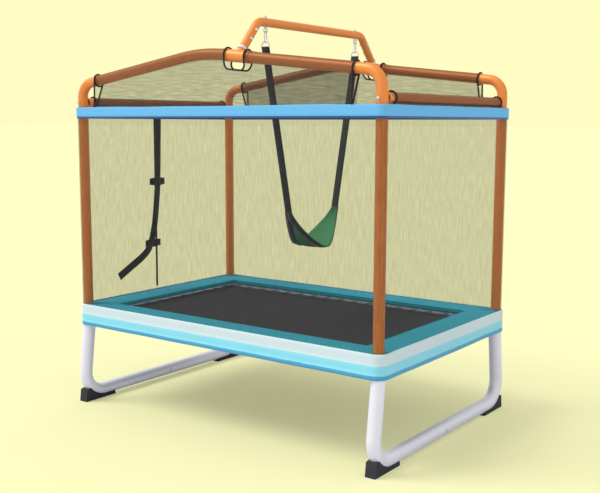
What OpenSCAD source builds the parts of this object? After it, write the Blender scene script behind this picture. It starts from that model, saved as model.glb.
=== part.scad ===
// Rectangular trampoline on two bent legs, with a net enclosure, a raised beam and a sling swing.
// Millimetres. +X runs along the long side, +Y from the front to the back, +Z up.
// The origin lies on the floor under the middle of the bed.

/* [Bed] */
// Length of the padded bed
bed_length = 1900; // [1890:1:1920]
// Width of the padded bed
bed_width = 1240; // [1230:1:1260]
// Height of the skirt's lower edge above the floor
skirt_bottom = 420; // [415:1:425]
// Height of the spring pad's top face
pad_top = 530; // [528:1:534]
// Corner radius of the pad and the skirt
pad_corner = 54; // [50:1:62]
// Length of the opening in the spring pad
opening_length = 1570; // [1560:1:1580]
// Width of the opening in the spring pad
opening_width = 950; // [940:1:955]

/* [Frame] */
// Distance between the post axes along the long side
post_span_x = 1816; // [1812:1:1820]
// Distance between the post axes along the short side
post_span_y = 1160; // [1156:1:1164]
// Outer diameter of the posts, arches and end rails
post_d = 50; // [48:1:50]
// Outer diameter of the base legs
leg_d = 65; // [64:1:66]
// Outer diameter of the bed rails
rail_d = 38; // [36:1:38]
// Outward lean of the base legs, in degrees
leg_lean = 7; // [5:0.5:7]
// Radius of the big bend in a base leg
leg_bend = 110; // [105:1:115]

/* [Enclosure] */
// Height where the posts plug into the arch tubes
post_top = 1540; // [1535:1:1545]
// Lower edge of the cloth band round the net
band_bottom = 1520; // [1515:1:1522]
// Upper edge of the cloth band round the net
band_top = 1565; // [1562:1:1566]
// Slope of the long arch tube, in degrees
slope_left = 8.8; // [8.6:0.1:9]
// Slope of the short arch tube, in degrees
slope_right = 6.4; // [6.2:0.1:6.6]
// Distance of the tee connectors and the beam from the middle, along the long side
tee_x = 148; // [146:1:150]
// Height of the end rails' axes
end_rail_z = 1592; // [1590:1:1594]

/* [Swing] */
// Height of the swing beam's axis
beam_z = 1953; // [1950:1:1956]
// Outer diameter of the swing beam
beam_d = 40; // [38:1:40]
// Distance between the two eye bolts
eye_span = 764; // [760:2:768]
// Height of the seat's lowest point
seat_bottom = 863; // [860:1:870]
// Width of the seat cloth
seat_width = 200; // [190:1:200]

/* [Mat and springs] */
// Spacing of the springs
spring_pitch = 95; // [94:1:96]
// Springs along each long side
springs_long = 17; // [15:2:17]
// Springs along each short side
springs_short = 10; // [8:2:10]

/* [Hidden] */
$fn = 48;

orange = "#f4772c";
white = "#eceaf2";
black = "#26262a";
steel = "#c9ccd2";

px = post_span_x / 2;
py = post_span_y / 2;
post_r = post_d / 2;
leg_r = leg_d / 2;
rail_r = rail_d / 2;
beam_r = beam_d / 2;
tube_wall = 1.5;
slip = 0.2;                 // radial clearance of one tube inside another
lap = 1;                    // a straight laps this far over a bend
lap_step = 0.1;
post_bore = post_r - tube_wall;

// bed levels
rail_z = 475;
pad_thick = 30;
pad_bottom = pad_top - pad_thick;
mat_thick = 3;
mat_z = 488;
skirt_thick = 3;

// base legs
sole = 10;                  // height of the bottom tube above the floor
leg_z = sole + leg_r;
leg_top = 440;
leg_y = py - 9;             // the legs start this far out, a little inside the posts
leg_screw = 68;             // the screws on the legs' inner sides, down from the rails' level
leg_seam = 36;              // the halves meet this far behind the middle
leg_run = (rail_z - leg_z) / cos(leg_lean);
leg_start = (rail_z - leg_top) / cos(leg_lean);
leg_turn = 90 + leg_lean;
leg_tangent = leg_bend * tan(leg_turn / 2);
leg_corner_y = leg_y + (rail_z - leg_z) * tan(leg_lean);

// springs
spring_gap = 74;            // from the rail's inner side to the mat's edge
mat_half_x = px - rail_r - spring_gap;
mat_half_y = py - rail_r - spring_gap;
ring_offset = 8;            // ring centres outside the mat's edge
ring_r = 11;
ring_wire = 2;

// arches
corner_bend = 80;
crown_bend = 1000;
turn_left = 90 - slope_left;
turn_right = 90 - slope_right;
arch_foot_left = 73;
crown_start_x = -200;
left_end_x = -px + corner_bend * (1 - cos(turn_left));
left_end_z = post_top + arch_foot_left + corner_bend * sin(turn_left);
crown_start_z = left_end_z + (crown_start_x - left_end_x) * tan(slope_left);
crown_end_x = crown_start_x + crown_bend * (sin(slope_left) + sin(slope_right));
crown_end_z = crown_start_z + crown_bend * (cos(slope_right) - cos(slope_left));
tee_z = crown_end_z - (tee_x - crown_end_x) * tan(slope_right);
right_end_x = px - corner_bend * (1 - cos(turn_right));
right_end_z = tee_z - (right_end_x - tee_x) * tan(slope_right);
arch_foot_right = right_end_z - corner_bend * sin(turn_right) - post_top;
tee_gap = 24;               // half the gap between the arch tubes' ends inside a tee
tee_half = 75;
tee_r = 28;
sleeve_gap = 60;            // the net sleeves start this far from a tee's middle
sleeve_end_x = 760;         // the net sleeves end here, short of the corner bends
net_in = post_r + 4;        // the net's inner face, from the post axes
net_thick = 2;
net_out = net_in + net_thick;
band_in = net_out + 0.3;
band_thick = 3;
rail_sleeve_half = 500;

// beam
beam_slope = 49;
beam_bend = 60;
beam_reach = (beam_z - tee_z) / sin(beam_slope);
beam_corner_y = py - (beam_z - tee_z) / tan(beam_slope);
beam_tangent = beam_bend * tan(beam_slope / 2);
stub_r = 16.5;
stub_end = 178;
beam_start = 50;

// swing hardware
eye_y = eye_span / 2;
eye_r = 10;
eye_wire = 3;
eye_z = beam_z - beam_r - 16;
link_wire = 2.5;
hang_gap = 0.6;
pivot_top = eye_z - eye_r + eye_wire + link_wire + hang_gap;
link_length = 52;
link_half = 8;
pivot_ring = pivot_top - link_length;
ring_arc = 23;
ring_rod = 2.5;
ring_z = pivot_ring + link_wire + hang_gap - (ring_arc - ring_rod);
ring_side = 6;
strap_width = 40;
strap_thick = 3;
seat_r = 190;
seat_z = seat_bottom + seat_r;
seat_thick = 6;

// door on the left side
door_y = -35;
zip_bottom = 545;
zip_x = -(px + net_out);
slider_z = 600;
flap_x = -(px + net_out + 10);
flap_thick = 2.5;
flap_width = 44;
flap_bottom = 757;
curl_r = 129;
buckle_x = flap_x - flap_thick - 1;
buckle_upper = [-16, 1152];
buckle_lower = [-57, 797];

// ---------- shared shapes ----------
module pipe_section(r, wall) {
    difference() {
        circle(r = r);
        circle(r = r - wall);
    }
}

module pipe(r, wall, length) {
    rotate([0, 90, 0]) linear_extrude(height = length) pipe_section(r, wall);
}

module rod_bend(r, bend, turn) {
    mirror([0, 0, turn < 0 ? 1 : 0]) translate([0, 0, bend]) rotate([90, 90, 0])
        rotate_extrude(angle = abs(turn)) translate([bend, 0]) circle(r = r);
}

// A bent bar that starts along +X. Each step is [straight length, bend radius, turn towards +Z].
// The straights are a hair thicker than the bends and lap a little way over them.
module rod_run(r, steps, i = 0) {
    s = steps[i];
    side = s[2] < 0 ? -1 : 1;
    lap_before = i > 0 ? lap : 0;
    lap_after = s[2] != 0 ? lap : 0;
    translate([-lap_before, 0, 0]) rotate([0, 90, 0])
        cylinder(r = r + lap_step, h = s[0] + lap_before + lap_after);
    if (s[2] != 0) {
        translate([s[0], 0, 0]) rod_bend(r, s[1], s[2]);
    }
    if (i + 1 < len(steps)) {
        translate([s[0] + s[1] * sin(abs(s[2])), 0, side * s[1] * (1 - cos(s[2]))])
            rotate([0, -s[2], 0]) rod_run(r, steps, i + 1);
    }
}

// A bent tube, made as the outer bar less the inner one.
module tube_run(r, wall, steps) {
    difference() {
        rod_run(r, steps);
        rod_run(r - wall, steps);
    }
}

module rounded_rect(half_x, half_y, r) {
    square([2 * half_x, 2 * (half_y - r)], center = true);
    square([2 * (half_x - r), 2 * half_y], center = true);
    for (x = [-1, 1], y = [-1, 1]) translate([x * (half_x - r), y * (half_y - r)]) circle(r = r);
}

module ring_2d(half_x, half_y, r, thick) {
    difference() {
        rounded_rect(half_x, half_y, r);
        rounded_rect(half_x - thick, half_y - thick, r - thick);
    }
}

// Puts its children at the front (-1) or the back (1) side, mirrored.
module side_y(side) {
    mirror([0, side < 0 ? 0 : 1, 0]) children();
}

module side_x(side) {
    mirror([side < 0 ? 0 : 1, 0, 0]) children();
}

// The local frame in which +X runs along the front leg, from the corner socket downwards.
module along_leg() {
    translate([0, -leg_y, rail_z]) rotate([0, 0, 90]) rotate([0, leg_turn, 0]) children();
}

// ---------- base ----------
module base_leg(side_a, side_b) {
    seam = side_b < 0 ? leg_corner_y - leg_tangent + leg_seam : leg_corner_y - leg_tangent - leg_seam;
    straight = leg_run - leg_start - leg_tangent;
    color(white) side_y(side_b) translate([side_a * px, 0, 0]) difference() {
        along_leg() translate([leg_start, 0, 0])
            tube_run(leg_r, 2, [[straight, leg_bend, leg_turn], [seam - 0.2, 0, 0]]);
        along_leg() translate([leg_screw, 0, 0]) rotate([-side_a * 90, 0, 0]) cylinder(r = 4.2, h = leg_r + 5);
        if (side_b < 0) {
            translate([0, 0, leg_z]) rotate([0, 90, 0]) cylinder(r = 4.2, h = leg_d + 10, center = true);
        }
    }
}

module leg_joiners() {
    color(steel) for (x = [-px, px]) difference() {
        translate([x, -45, leg_z]) rotate([0, 0, 90]) pipe(leg_r - 2 - slip, 2, 160);
        translate([x, 0, leg_z]) rotate([0, 90, 0]) cylinder(r = 4.2, h = leg_d + 10, center = true);
    }
}

// A rubber boot that fills the wedge between the floor and the leg's big bend.
module foot(side_a, side_b) {
    boot_half = 26;
    heel_y = leg_corner_y + 12;
    toe_y = 428;
    side_profile = [[-heel_y, 0], [-heel_y + 8, 64], [-heel_y + 40, 70], [-500, 30], [-toe_y - 4, 22], [-toe_y, 0]];
    color(black) side_y(side_b) translate([side_a * px, 0, 0]) difference() {
        rotate([90, 0, 90]) translate([0, 0, -boot_half]) linear_extrude(height = 2 * boot_half)
            polygon(side_profile);
        along_leg() translate([leg_run - leg_tangent, 0, 0])
            rod_bend(leg_r + 0.2, leg_bend, leg_turn);
        translate([0, -leg_corner_y + leg_tangent - lap, leg_z]) rotate([-90, 0, 0])
            cylinder(r = leg_r + 0.2 + lap_step, h = 100);
    }
}

// ---------- bed frame ----------
module frame_corner(side_a, side_b) {
    socket_r = 30;
    socket_low = 445;
    socket_high = 498;
    stub = 110;
    spigot_start = 21;      // clear of the rails
    spigot_end = 84;
    color(steel) side_x(side_a) side_y(side_b) difference() {
        union() {
            translate([-px, -py, socket_low]) cylinder(r = socket_r, h = socket_high - socket_low);
            translate([-px, 0, 0]) along_leg() translate([spigot_start, 0, 0]) rotate([0, 90, 0])
                cylinder(r = leg_r - 2 - slip, h = spigot_end - spigot_start);
            translate([-px, -py, rail_z]) rotate([0, 90, 0]) cylinder(r = rail_r - tube_wall - slip, h = stub);
            translate([-px, -py, rail_z]) rotate([-90, 0, 0]) cylinder(r = rail_r - tube_wall - slip, h = stub);
        }
        translate([-px, -py, socket_low + 2]) cylinder(r = post_r + slip, h = 60);
        translate([-px, 0, 0]) along_leg() translate([leg_screw, 0, 0]) rotate([90, 0, 0])
            cylinder(r = 4.2, h = leg_r + 5);
    }
}

module rail_x(side_b) {
    gap = 31;
    color(steel) translate([-px + gap, side_b * py, rail_z]) pipe(rail_r, tube_wall, 2 * (px - gap));
}

module rail_y(side_a) {
    gap = 31;
    color(steel) translate([side_a * px, -py + gap, rail_z]) rotate([0, 0, 90])
        pipe(rail_r, tube_wall, 2 * (py - gap));
}

// ---------- fasteners ----------
// A domed bolt along +X through a tube of the given half thickness, with a nut on the far side.
module bolt(half) {
    shank_r = 3.9;
    rotate([0, -90, 0]) translate([0, 0, -half - 3]) cylinder(r = shank_r, h = 2 * half + 8);
    rotate([0, 90, 0]) translate([0, 0, half + 0.1]) cylinder(r = 8, h = 3);
    rotate([0, 90, 0]) translate([0, 0, half + 3.1]) cylinder(r1 = 8, r2 = 4.5, h = 2.4);
    rotate([0, -90, 0]) translate([0, 0, half + 0.1]) cylinder(r = 7.5, h = 6, $fn = 6);
}

// A domed screw along +X into a tube of the given half thickness, through its near wall only.
module screw(half) {
    rotate([0, 90, 0]) translate([0, 0, 8]) cylinder(r = 3.9, h = half - 7);
    rotate([0, 90, 0]) translate([0, 0, half + 0.1]) cylinder(r = 8, h = 3);
    rotate([0, 90, 0]) translate([0, 0, half + 3.1]) cylinder(r1 = 8, r2 = 4.5, h = 2.4);
}

module frame_bolts() {
    color(steel) {
        for (x = [-px, px]) translate([x, 0, leg_z]) bolt(leg_r);
        for (x = [-1, 1], y = [-1, 1]) side_x(x) side_y(y) translate([-px, 0, 0]) along_leg()
            translate([leg_screw, 0, 0]) rotate([0, 0, -90]) screw(leg_r);
        for (y = [-1, 1], s = [107, 163]) side_y(y) beam_leg_frame() translate([s, 0, 0])
            rotate([0, 0, -90]) bolt(beam_r);
        for (x = [-1, 1], y = [-1, 1]) side_x(x) side_y(y) translate([-px, -py, end_rail_z])
            rotate([0, 0, 90]) translate([-1, 0, 0]) bolt(post_r + 2);
    }
}

// ---------- mat ----------
module jump_mat() {
    color("#27272b") translate([0, 0, mat_z - mat_thick / 2]) linear_extrude(height = mat_thick)
        rounded_rect(mat_half_x, mat_half_y, 12);
}

// Puts its children at each spring, with +X pointing outwards from the mat's edge.
module each_spring() {
    long_start = -(springs_long - 1) / 2 * spring_pitch;
    short_start = -(springs_short - 1) / 2 * spring_pitch;
    for (side = [-1, 1], i = [0 : springs_long - 1])
        translate([long_start + i * spring_pitch, side * mat_half_y, mat_z])
            rotate([0, 0, side * 90]) children();
    for (side = [0, 1], i = [0 : springs_short - 1])
        rotate([0, 0, side * 180]) translate([mat_half_x, short_start + i * spring_pitch, mat_z]) children();
}

module mat_rings() {
    color(steel) each_spring() translate([ring_offset, 0, 0])
        rotate_extrude() translate([ring_r, 0]) circle(r = ring_wire, $fn = 16);
}

module mat_springs() {
    hook_start = ring_offset + ring_r + ring_wire + 0.4;
    coil_start = 28;
    coil_end = 62;
    coil_r = 7;
    hook_r = 1.5;
    color(steel) each_spring() rotate([0, 90, 0]) {
        translate([0, 0, hook_start]) cylinder(r = hook_r, h = spring_gap + 4 - hook_start, $fn = 16);
        translate([0, 0, coil_start]) cylinder(r = coil_r, h = coil_end - coil_start, $fn = 24);
    }
}

// ---------- pad ----------
module spring_pad() {
    half_x = bed_length / 2 - skirt_thick - 0.5;
    half_y = bed_width / 2 - skirt_thick - 0.5;
    color("#1294a8") translate([0, 0, pad_bottom]) difference() {
        linear_extrude(height = pad_thick) difference() {
            rounded_rect(half_x, half_y, pad_corner - 3);
            rounded_rect(opening_length / 2, opening_width / 2, 15);
        }
        for (x = [-px, px], y = [-py, py]) translate([x, y, -1]) cylinder(r = post_r + 0.6, h = pad_thick + 2);
    }
}

module pad_skirt() {
    color("#8fdcf0") translate([0, 0, skirt_bottom]) linear_extrude(height = pad_top - skirt_bottom)
        ring_2d(bed_length / 2, bed_width / 2, pad_corner, skirt_thick);
}

// ---------- posts, arches and end rails ----------
module post(side_a, side_b) {
    post_low = 448;
    color(orange) translate([side_a * px, side_b * py, post_low]) {
        linear_extrude(height = post_top - post_low) pipe_section(post_r, tube_wall);
        translate([0, 0, post_top - post_low - 60]) linear_extrude(height = 106)
            pipe_section(post_bore - slip, tube_wall);
        translate([0, 0, post_top - post_low - 60]) linear_extrude(height = 4)
            pipe_section(post_r - 0.5, tube_wall + 1);
    }
}

module arch_left(side_b) {
    long = (crown_start_x - left_end_x) / cos(slope_left);
    short = (tee_x - tee_gap - crown_end_x) / cos(slope_right);
    color(orange) translate([-px, side_b * py, post_top + 0.2]) rotate([0, -90, 0])
        tube_run(post_r, tube_wall, [[arch_foot_left - 0.2, corner_bend, -turn_left],
                                     [long, crown_bend, -(slope_left + slope_right)], [short, 0, 0]]);
}

module arch_right(side_b) {
    straight = (right_end_x - tee_x - tee_gap) / cos(slope_right);
    color(orange) translate([px, side_b * py, post_top + 0.2]) rotate([0, -90, 0])
        tube_run(post_r, tube_wall, [[arch_foot_right - 0.2, corner_bend, turn_right], [straight, 0, 0]]);
}

// The frame whose +X runs up a beam leg, from the middle of the front tee.
module beam_leg_frame() {
    translate([tee_x, -py, tee_z]) rotate([0, 0, 90]) rotate([0, -beam_slope, 0]) children();
}

module tee(side_b) {
    color(orange) side_y(side_b) difference() {
        union() {
            translate([tee_x, -py, tee_z]) rotate([0, slope_right, 0]) rotate([0, 90, 0])
                cylinder(r = tee_r, h = 2 * tee_half, center = true);
            beam_leg_frame() translate([10, 0, 0]) rotate([0, 90, 0]) cylinder(r = stub_r, h = stub_end - 10);
        }
        translate([tee_x, -py, tee_z]) rotate([0, slope_right, 0]) rotate([0, 90, 0])
            cylinder(r = post_r + slip, h = 2 * tee_half + 2, center = true);
        for (s = [107, 163]) beam_leg_frame() translate([s, 0, 0]) rotate([90, 0, 0])
            cylinder(r = 4.2, h = 60, center = true);
    }
}

module end_rail(side_a) {
    saddle_r = post_r + slip;
    saddle_wall = 2.4;
    tube_half = py - saddle_r - 1.5;
    color(orange) side_x(side_a) translate([-px, 0, end_rail_z]) {
        translate([0, -tube_half, 0]) rotate([0, 0, 90]) pipe(post_r - 2, tube_wall, 2 * tube_half);
        for (y = [-1, 1]) side_y(y) translate([0, -py, -28]) difference() {
            rotate([0, 0, 15]) rotate_extrude(angle = 150) translate([saddle_r, 0]) square([saddle_wall, 56]);
            translate([0, 0, 28]) rotate([-90, 0, 0]) cylinder(r = 4.2, h = 40);
        }
    }
}

// ---------- swing beam ----------
module swing_beam() {
    first = beam_reach - beam_start - beam_tangent;
    flat = 2 * (beam_corner_y - beam_tangent);
    color(orange) difference() {
        beam_leg_frame() translate([beam_start, 0, 0])
            tube_run(beam_r, tube_wall, [[first, beam_bend, -beam_slope], [flat, beam_bend, -beam_slope],
                                         [first, 0, 0]]);
        for (y = [-1, 1], s = [107, 163]) side_y(y) beam_leg_frame() translate([s, 0, 0])
            rotate([90, 0, 0]) cylinder(r = 4.2, h = 60, center = true);
        for (y = [-eye_y, eye_y]) translate([tee_x, y, beam_z]) cylinder(r = 4.2, h = 60, center = true);
    }
}

module beam_bushes() {
    color("white") for (y = [-1, 1]) side_y(y) beam_leg_frame() {
        translate([40, 0, 0]) pipe(beam_r + 2.5, beam_r + 2.5 - stub_r - 0.1, 9.8);
        translate([50, 0, 0]) pipe(beam_r - tube_wall - 0.1, beam_r - tube_wall - stub_r - 0.2, 30);
    }
}

// ---------- net ----------
net_bottom = pad_top + 0.3;
net_colour = "#8b8f74";

module net_wall_x(side_b) {
    color(net_colour) translate([-px, side_b < 0 ? -py - net_out : py + net_in, net_bottom])
        cube([2 * px, net_thick, band_top - net_bottom]);
}

// A short side of the net with its two round corners and the sleeve over the end rail.
module net_wall_y(side_a) {
    color(net_colour) side_x(side_a) {
        translate([-px - net_out, -py, net_bottom]) cube([net_thick, 2 * py, band_top - net_bottom]);
        for (y = [-1, 1]) side_y(y) translate([-px, -py, net_bottom]) rotate([0, 0, 180])
            rotate_extrude(angle = 89.9) translate([net_in, 0]) square([net_thick, band_top - net_bottom]);
        translate([-px - net_out, -rail_sleeve_half, band_top - 1])
            cube([net_thick, 2 * rail_sleeve_half, end_rail_z - band_top + 1]);
        translate([-px, -rail_sleeve_half, end_rail_z]) rotate([0, 0, 90])
            pipe(net_out, net_thick, 2 * rail_sleeve_half);
    }
}

// Height of the arch axis above the floor at x
function arch_z(x) = x < crown_start_x ? crown_start_z + (x - crown_start_x) * tan(slope_left)
    : x > crown_end_x ? crown_end_z - (x - crown_end_x) * tan(slope_right)
    : crown_start_z - crown_bend * cos(slope_left)
        + sqrt(pow(crown_bend, 2) - pow(x - crown_start_x - crown_bend * sin(slope_left), 2));

sleeve_long = (crown_start_x + sleeve_end_x) / cos(slope_left);
sleeve_short = (tee_x - sleeve_gap * cos(slope_right) - crown_end_x) / cos(slope_right);
sleeve_right = (sleeve_end_x - tee_x) / cos(slope_right) - sleeve_gap;

module net_top(side_b) {
    cut_half = sleeve_gap - 0.5;
    cut_r = 26;
    crown = [for (i = [0 : 12]) crown_start_x + (crown_end_x - crown_start_x) * i / 12];
    outline = concat([[-sleeve_end_x - 20, band_top + 0.2], [-sleeve_end_x, arch_z(-sleeve_end_x)]],
                     [for (x = crown) [x, arch_z(x)]],
                     [[sleeve_end_x, arch_z(sleeve_end_x)], [sleeve_end_x + 20, band_top + 0.2]]);
    color(net_colour) side_y(side_b) {
        translate([0, -py - net_in - 0.2, 0]) rotate([90, 0, 0]) linear_extrude(height = net_thick - 0.4)
            difference() {
                polygon(outline);
                translate([tee_x, tee_z]) rotate(-slope_right) {
                    translate([-cut_half, -28]) square([2 * cut_half, 60]);
                    translate([-cut_half + cut_r, -28 - cut_r]) square([2 * (cut_half - cut_r), cut_r + 1]);
                    for (x = [-1, 1]) translate([x * (cut_half - cut_r), -28]) circle(r = cut_r);
                }
            }
        translate([-sleeve_end_x, -py, arch_z(-sleeve_end_x)]) rotate([0, -slope_left, 0])
            tube_run(net_out, net_thick, [[sleeve_long, crown_bend, -(slope_left + slope_right)],
                                          [sleeve_short, 0, 0]]);
        translate([tee_x, -py, tee_z]) rotate([0, slope_right, 0]) translate([sleeve_gap, 0, 0])
            pipe(net_out, net_thick, sleeve_right);
    }
}

module net_band() {
    color("#5aaee0") translate([0, 0, band_bottom]) linear_extrude(height = band_top - band_bottom)
        ring_2d(px + band_in + band_thick, py + band_in + band_thick, band_in + band_thick, band_thick);
}

module piping_ring() {
    cord = 2.5;
    rotate([0, 90, 0]) rotate_extrude() translate([net_out + cord + 0.2, 0]) circle(r = cord, $fn = 16);
}

module net_piping() {
    color(black) {
        for (y = [-1, 1]) side_y(y) {
            translate([-sleeve_end_x, -py, arch_z(-sleeve_end_x)]) rotate([0, -slope_left, 0]) piping_ring();
            translate([sleeve_end_x, -py, arch_z(sleeve_end_x)]) rotate([0, slope_right, 0]) piping_ring();
            translate([tee_x, -py, tee_z]) rotate([0, slope_right, 0]) for (x = [-1, 1])
                translate([x * sleeve_gap, 0, 0]) piping_ring();
        }
        for (x = [-px, px], y = [-rail_sleeve_half, rail_sleeve_half])
            translate([x, y, end_rail_z]) rotate([0, 0, 90]) piping_ring();
    }
}

// A straight round cord between two points.
module rod(p, q, r) {
    d = q - p;
    translate(p) rotate([0, acos(d[2] / norm(d)), atan2(d[1], d[0])]) cylinder(r = r, h = norm(d), $fn = 16);
}

module corner_ties() {
    cord_r = 3;
    color(black) for (x = [-1, 1], y = [-1, 1]) {
        top = arch_z(x * sleeve_end_x) - 38;
        rod([x * (sleeve_end_x + 6), y * (py + 24), top], [x * (sleeve_end_x + 60), y * (py + 27), band_top + 2], cord_r);
        rod([x * (sleeve_end_x + 2), y * (py - 12), top], [x * (sleeve_end_x + 30), y * (py + 18), band_top + 2], cord_r);
    }
}

// ---------- door ----------
module door_zip() {
    tape_width = 30;
    tape_thick = 1.4;
    color(black) translate([zip_x - tape_thick - 0.1, door_y - tape_width / 2, zip_bottom])
        cube([tape_thick, tape_width, band_bottom - zip_bottom - 3]);
}

module zip_slider() {
    color(steel) translate([zip_x - 2, door_y, slider_z]) {
        translate([-1.4, 0, 0]) cube([2.4, 11, 20], center = true);
        translate([-2.8, -1.5, 5.5]) cube([1.2, 3, 3]);
        translate([-2.8, -1.5, -2]) cube([1.2, 3, 3]);
        translate([-4.6, 0, 5]) rotate([0, 90, 0]) cylinder(r = 2, h = 3.2);
    }
}

module zip_pull() {
    color(black) translate([zip_x - 5.2, door_y, slider_z + 5]) difference() {
        union() {
            rotate([0, -90, 0]) translate([0, 0, -0.3]) cylinder(r = 5, h = 1.6);
            translate([-1.3, -4, -34]) cube([1.6, 8, 34]);
        }
        rotate([0, 90, 0]) cylinder(r = 2.05, h = 10, center = true);
    }
}

// A webbing flap over the zip, whose loose end curls forwards and down.
module door_flap() {
    straight_end = 150;
    color(black) translate([flap_x, 0, 0]) rotate([90, 0, 90]) mirror([0, 0, 1])
        linear_extrude(height = flap_thick) {
            translate([door_y - flap_width / 2, flap_bottom])
                square([flap_width, band_bottom - flap_bottom - 3]);
            translate([door_y - curl_r, flap_bottom]) intersection() {
                difference() {
                    circle(r = curl_r + flap_width / 2);
                    circle(r = curl_r - flap_width / 2);
                }
                translate([0, -200]) square([200, 200.5]);
            }
            translate([door_y - curl_r - straight_end, flap_bottom - curl_r - flap_width / 2])
                square([straight_end + 0.5, flap_width]);
        }
}

module buckle_socket(at) {
    color(black) translate([buckle_x, at[0], at[1]]) difference() {
        translate([-11, 0, -22]) cube([11, 46, 44]);
        translate([-9, -1, -19]) cube([7, 34, 38]);
        translate([-12, 8, -13]) cube([14, 14, 26]);
    }
    color(black) translate([buckle_x - 6.5, at[0] + 46, at[1] - 19]) cube([2, 26, 38]);
}

module buckle_sockets() {
    buckle_socket(buckle_upper);
    buckle_socket(buckle_lower);
}

module buckle_plug(at) {
    color(black) translate([buckle_x, at[0], at[1]]) {
        translate([-10.5, -22.5, -21]) cube([10, 22, 42]);
        for (z = [-16, 10]) translate([-8, -1, z]) cube([5, 30, 6]);
        translate([-6.5, -46, -19]) cube([2, 24, 38]);
    }
}

// ---------- swing ----------
module eye_bolts() {
    shank_r = 3.9;
    color(steel) for (y = [-eye_y, eye_y]) translate([tee_x, y, 0]) {
        translate([0, 0, eye_z]) rotate([90, 0, 0])
            rotate_extrude() translate([eye_r, 0]) circle(r = eye_wire, $fn = 24);
        translate([0, 0, eye_z + eye_r]) cylinder(r = shank_r, h = beam_z + beam_r + 11 - eye_z - eye_r);
        translate([0, 0, beam_z + beam_r + 0.1]) cylinder(r = 7.5, h = 6, $fn = 6);
        translate([0, 0, beam_z - beam_r - 3.1]) cylinder(r = 9, h = 3);
    }
}

// A closed oval link in the Y-Z plane, hanging in the eye.
module swing_links() {
    straight = link_length - 2 * link_half;
    color(steel) for (y = [-eye_y, eye_y]) translate([tee_x, y, pivot_top - link_half]) {
        rotate([90, 0, 90]) rotate_extrude(angle = 180) translate([link_half, 0]) circle(r = link_wire, $fn = 24);
        for (s = [-1, 1]) translate([0, s * link_half, -straight]) cylinder(r = link_wire, h = straight, $fn = 24);
        translate([0, 0, -straight]) rotate([90, 180, 90]) rotate_extrude(angle = 180)
            translate([link_half, 0]) circle(r = link_wire, $fn = 24);
        translate([0, link_half, -straight / 2 - 8]) cylinder(r = link_wire + 1.6, h = 16, $fn = 6);
    }
}

// A D ring in the X-Z plane for the webbing strap.
module swing_rings() {
    color(steel) for (y = [-eye_y, eye_y]) translate([tee_x, y, ring_z]) {
        rotate([90, 0, 0]) rotate_extrude(angle = 180) translate([ring_arc, 0]) circle(r = ring_rod, $fn = 24);
        for (s = [-1, 1]) translate([s * ring_arc, 0, -ring_side]) {
            cylinder(r = ring_rod, h = ring_side, $fn = 24);
            sphere(r = ring_rod);
        }
        translate([-ring_arc, 0, -ring_side]) rotate([0, 90, 0]) cylinder(r = ring_rod, h = 2 * ring_arc, $fn = 24);
    }
}

module strap(side) {
    top_z = ring_z - ring_side;
    fall = top_z - seat_z;
    inward = eye_y - seat_r;
    length = sqrt(pow(fall, 2) + pow(inward, 2));
    color(black) side_y(side) translate([tee_x, -eye_y, top_z]) rotate([-atan(inward / fall) + 180, 0, 0]) {
        translate([-strap_width / 2, -strap_thick / 2, 0]) cube([strap_width, strap_thick, length + 4]);
        rotate([0, 90, 0]) cylinder(r = ring_rod + strap_thick, h = strap_width, center = true);
    }
}

// A sling of cloth in a half round, narrowed to the webbing at both ends.
module swing_seat() {
    shoulder = seat_bottom + 60;
    half = seat_width / 2;
    tip = strap_width / 2;
    color("#3f7d52") translate([tee_x, 0, 0]) intersection() {
        translate([0, 0, seat_z]) rotate([90, 180, 90]) translate([0, 0, -half])
            rotate_extrude(angle = 180) translate([seat_r - seat_thick / 2, 0]) square([seat_thick, seat_width]);
        rotate([90, 0, 0]) linear_extrude(height = 600, center = true)
            polygon([[-half, seat_bottom - 10], [half, seat_bottom - 10], [half, shoulder],
                     [tip, seat_z + 2], [-tip, seat_z + 2], [-half, shoulder]]);
    }
}

base_leg(-1, -1);  // base_leg_left_front
base_leg(-1, 1);  // base_leg_left_back
base_leg(1, -1);  // base_leg_right_front
base_leg(1, 1);  // base_leg_right_back
leg_joiners();
foot(-1, -1);  // foot_left_front
foot(-1, 1);  // foot_left_back
foot(1, -1);  // foot_right_front
foot(1, 1);  // foot_right_back
rail_x(-1);  // frame_rail_front
rail_x(1);  // frame_rail_back
rail_y(-1);  // frame_rail_left
rail_y(1);  // frame_rail_right
frame_corner(-1, -1);  // frame_corner_left_front
frame_corner(-1, 1);  // frame_corner_left_back
frame_corner(1, -1);  // frame_corner_right_front
frame_corner(1, 1);  // frame_corner_right_back
frame_bolts();
jump_mat();
mat_rings();
mat_springs();
spring_pad();
pad_skirt();
post(-1, -1);  // post_left_front
post(-1, 1);  // post_left_back
post(1, -1);  // post_right_front
post(1, 1);  // post_right_back
arch_left(-1);  // arch_front_left
arch_right(-1);  // arch_front_right
arch_left(1);  // arch_back_left
arch_right(1);  // arch_back_right
tee(-1);  // tee_front
tee(1);  // tee_back
end_rail(-1);  // end_rail_left
end_rail(1);  // end_rail_right
swing_beam();
beam_bushes();
net_wall_x(-1);  // net_front
net_wall_x(1);  // net_back
net_wall_y(-1);  // net_left
net_wall_y(1);  // net_right
net_top(-1);  // net_top_front
net_top(1);  // net_top_back
net_band();
net_piping();
corner_ties();
door_zip();
zip_slider();
zip_pull();
door_flap();
buckle_sockets();
buckle_plug(buckle_upper);  // buckle_plug_upper
buckle_plug(buckle_lower);  // buckle_plug_lower
eye_bolts();
swing_links();
swing_rings();
strap(-1);  // strap_front
strap(1);  // strap_back
swing_seat();
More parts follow.
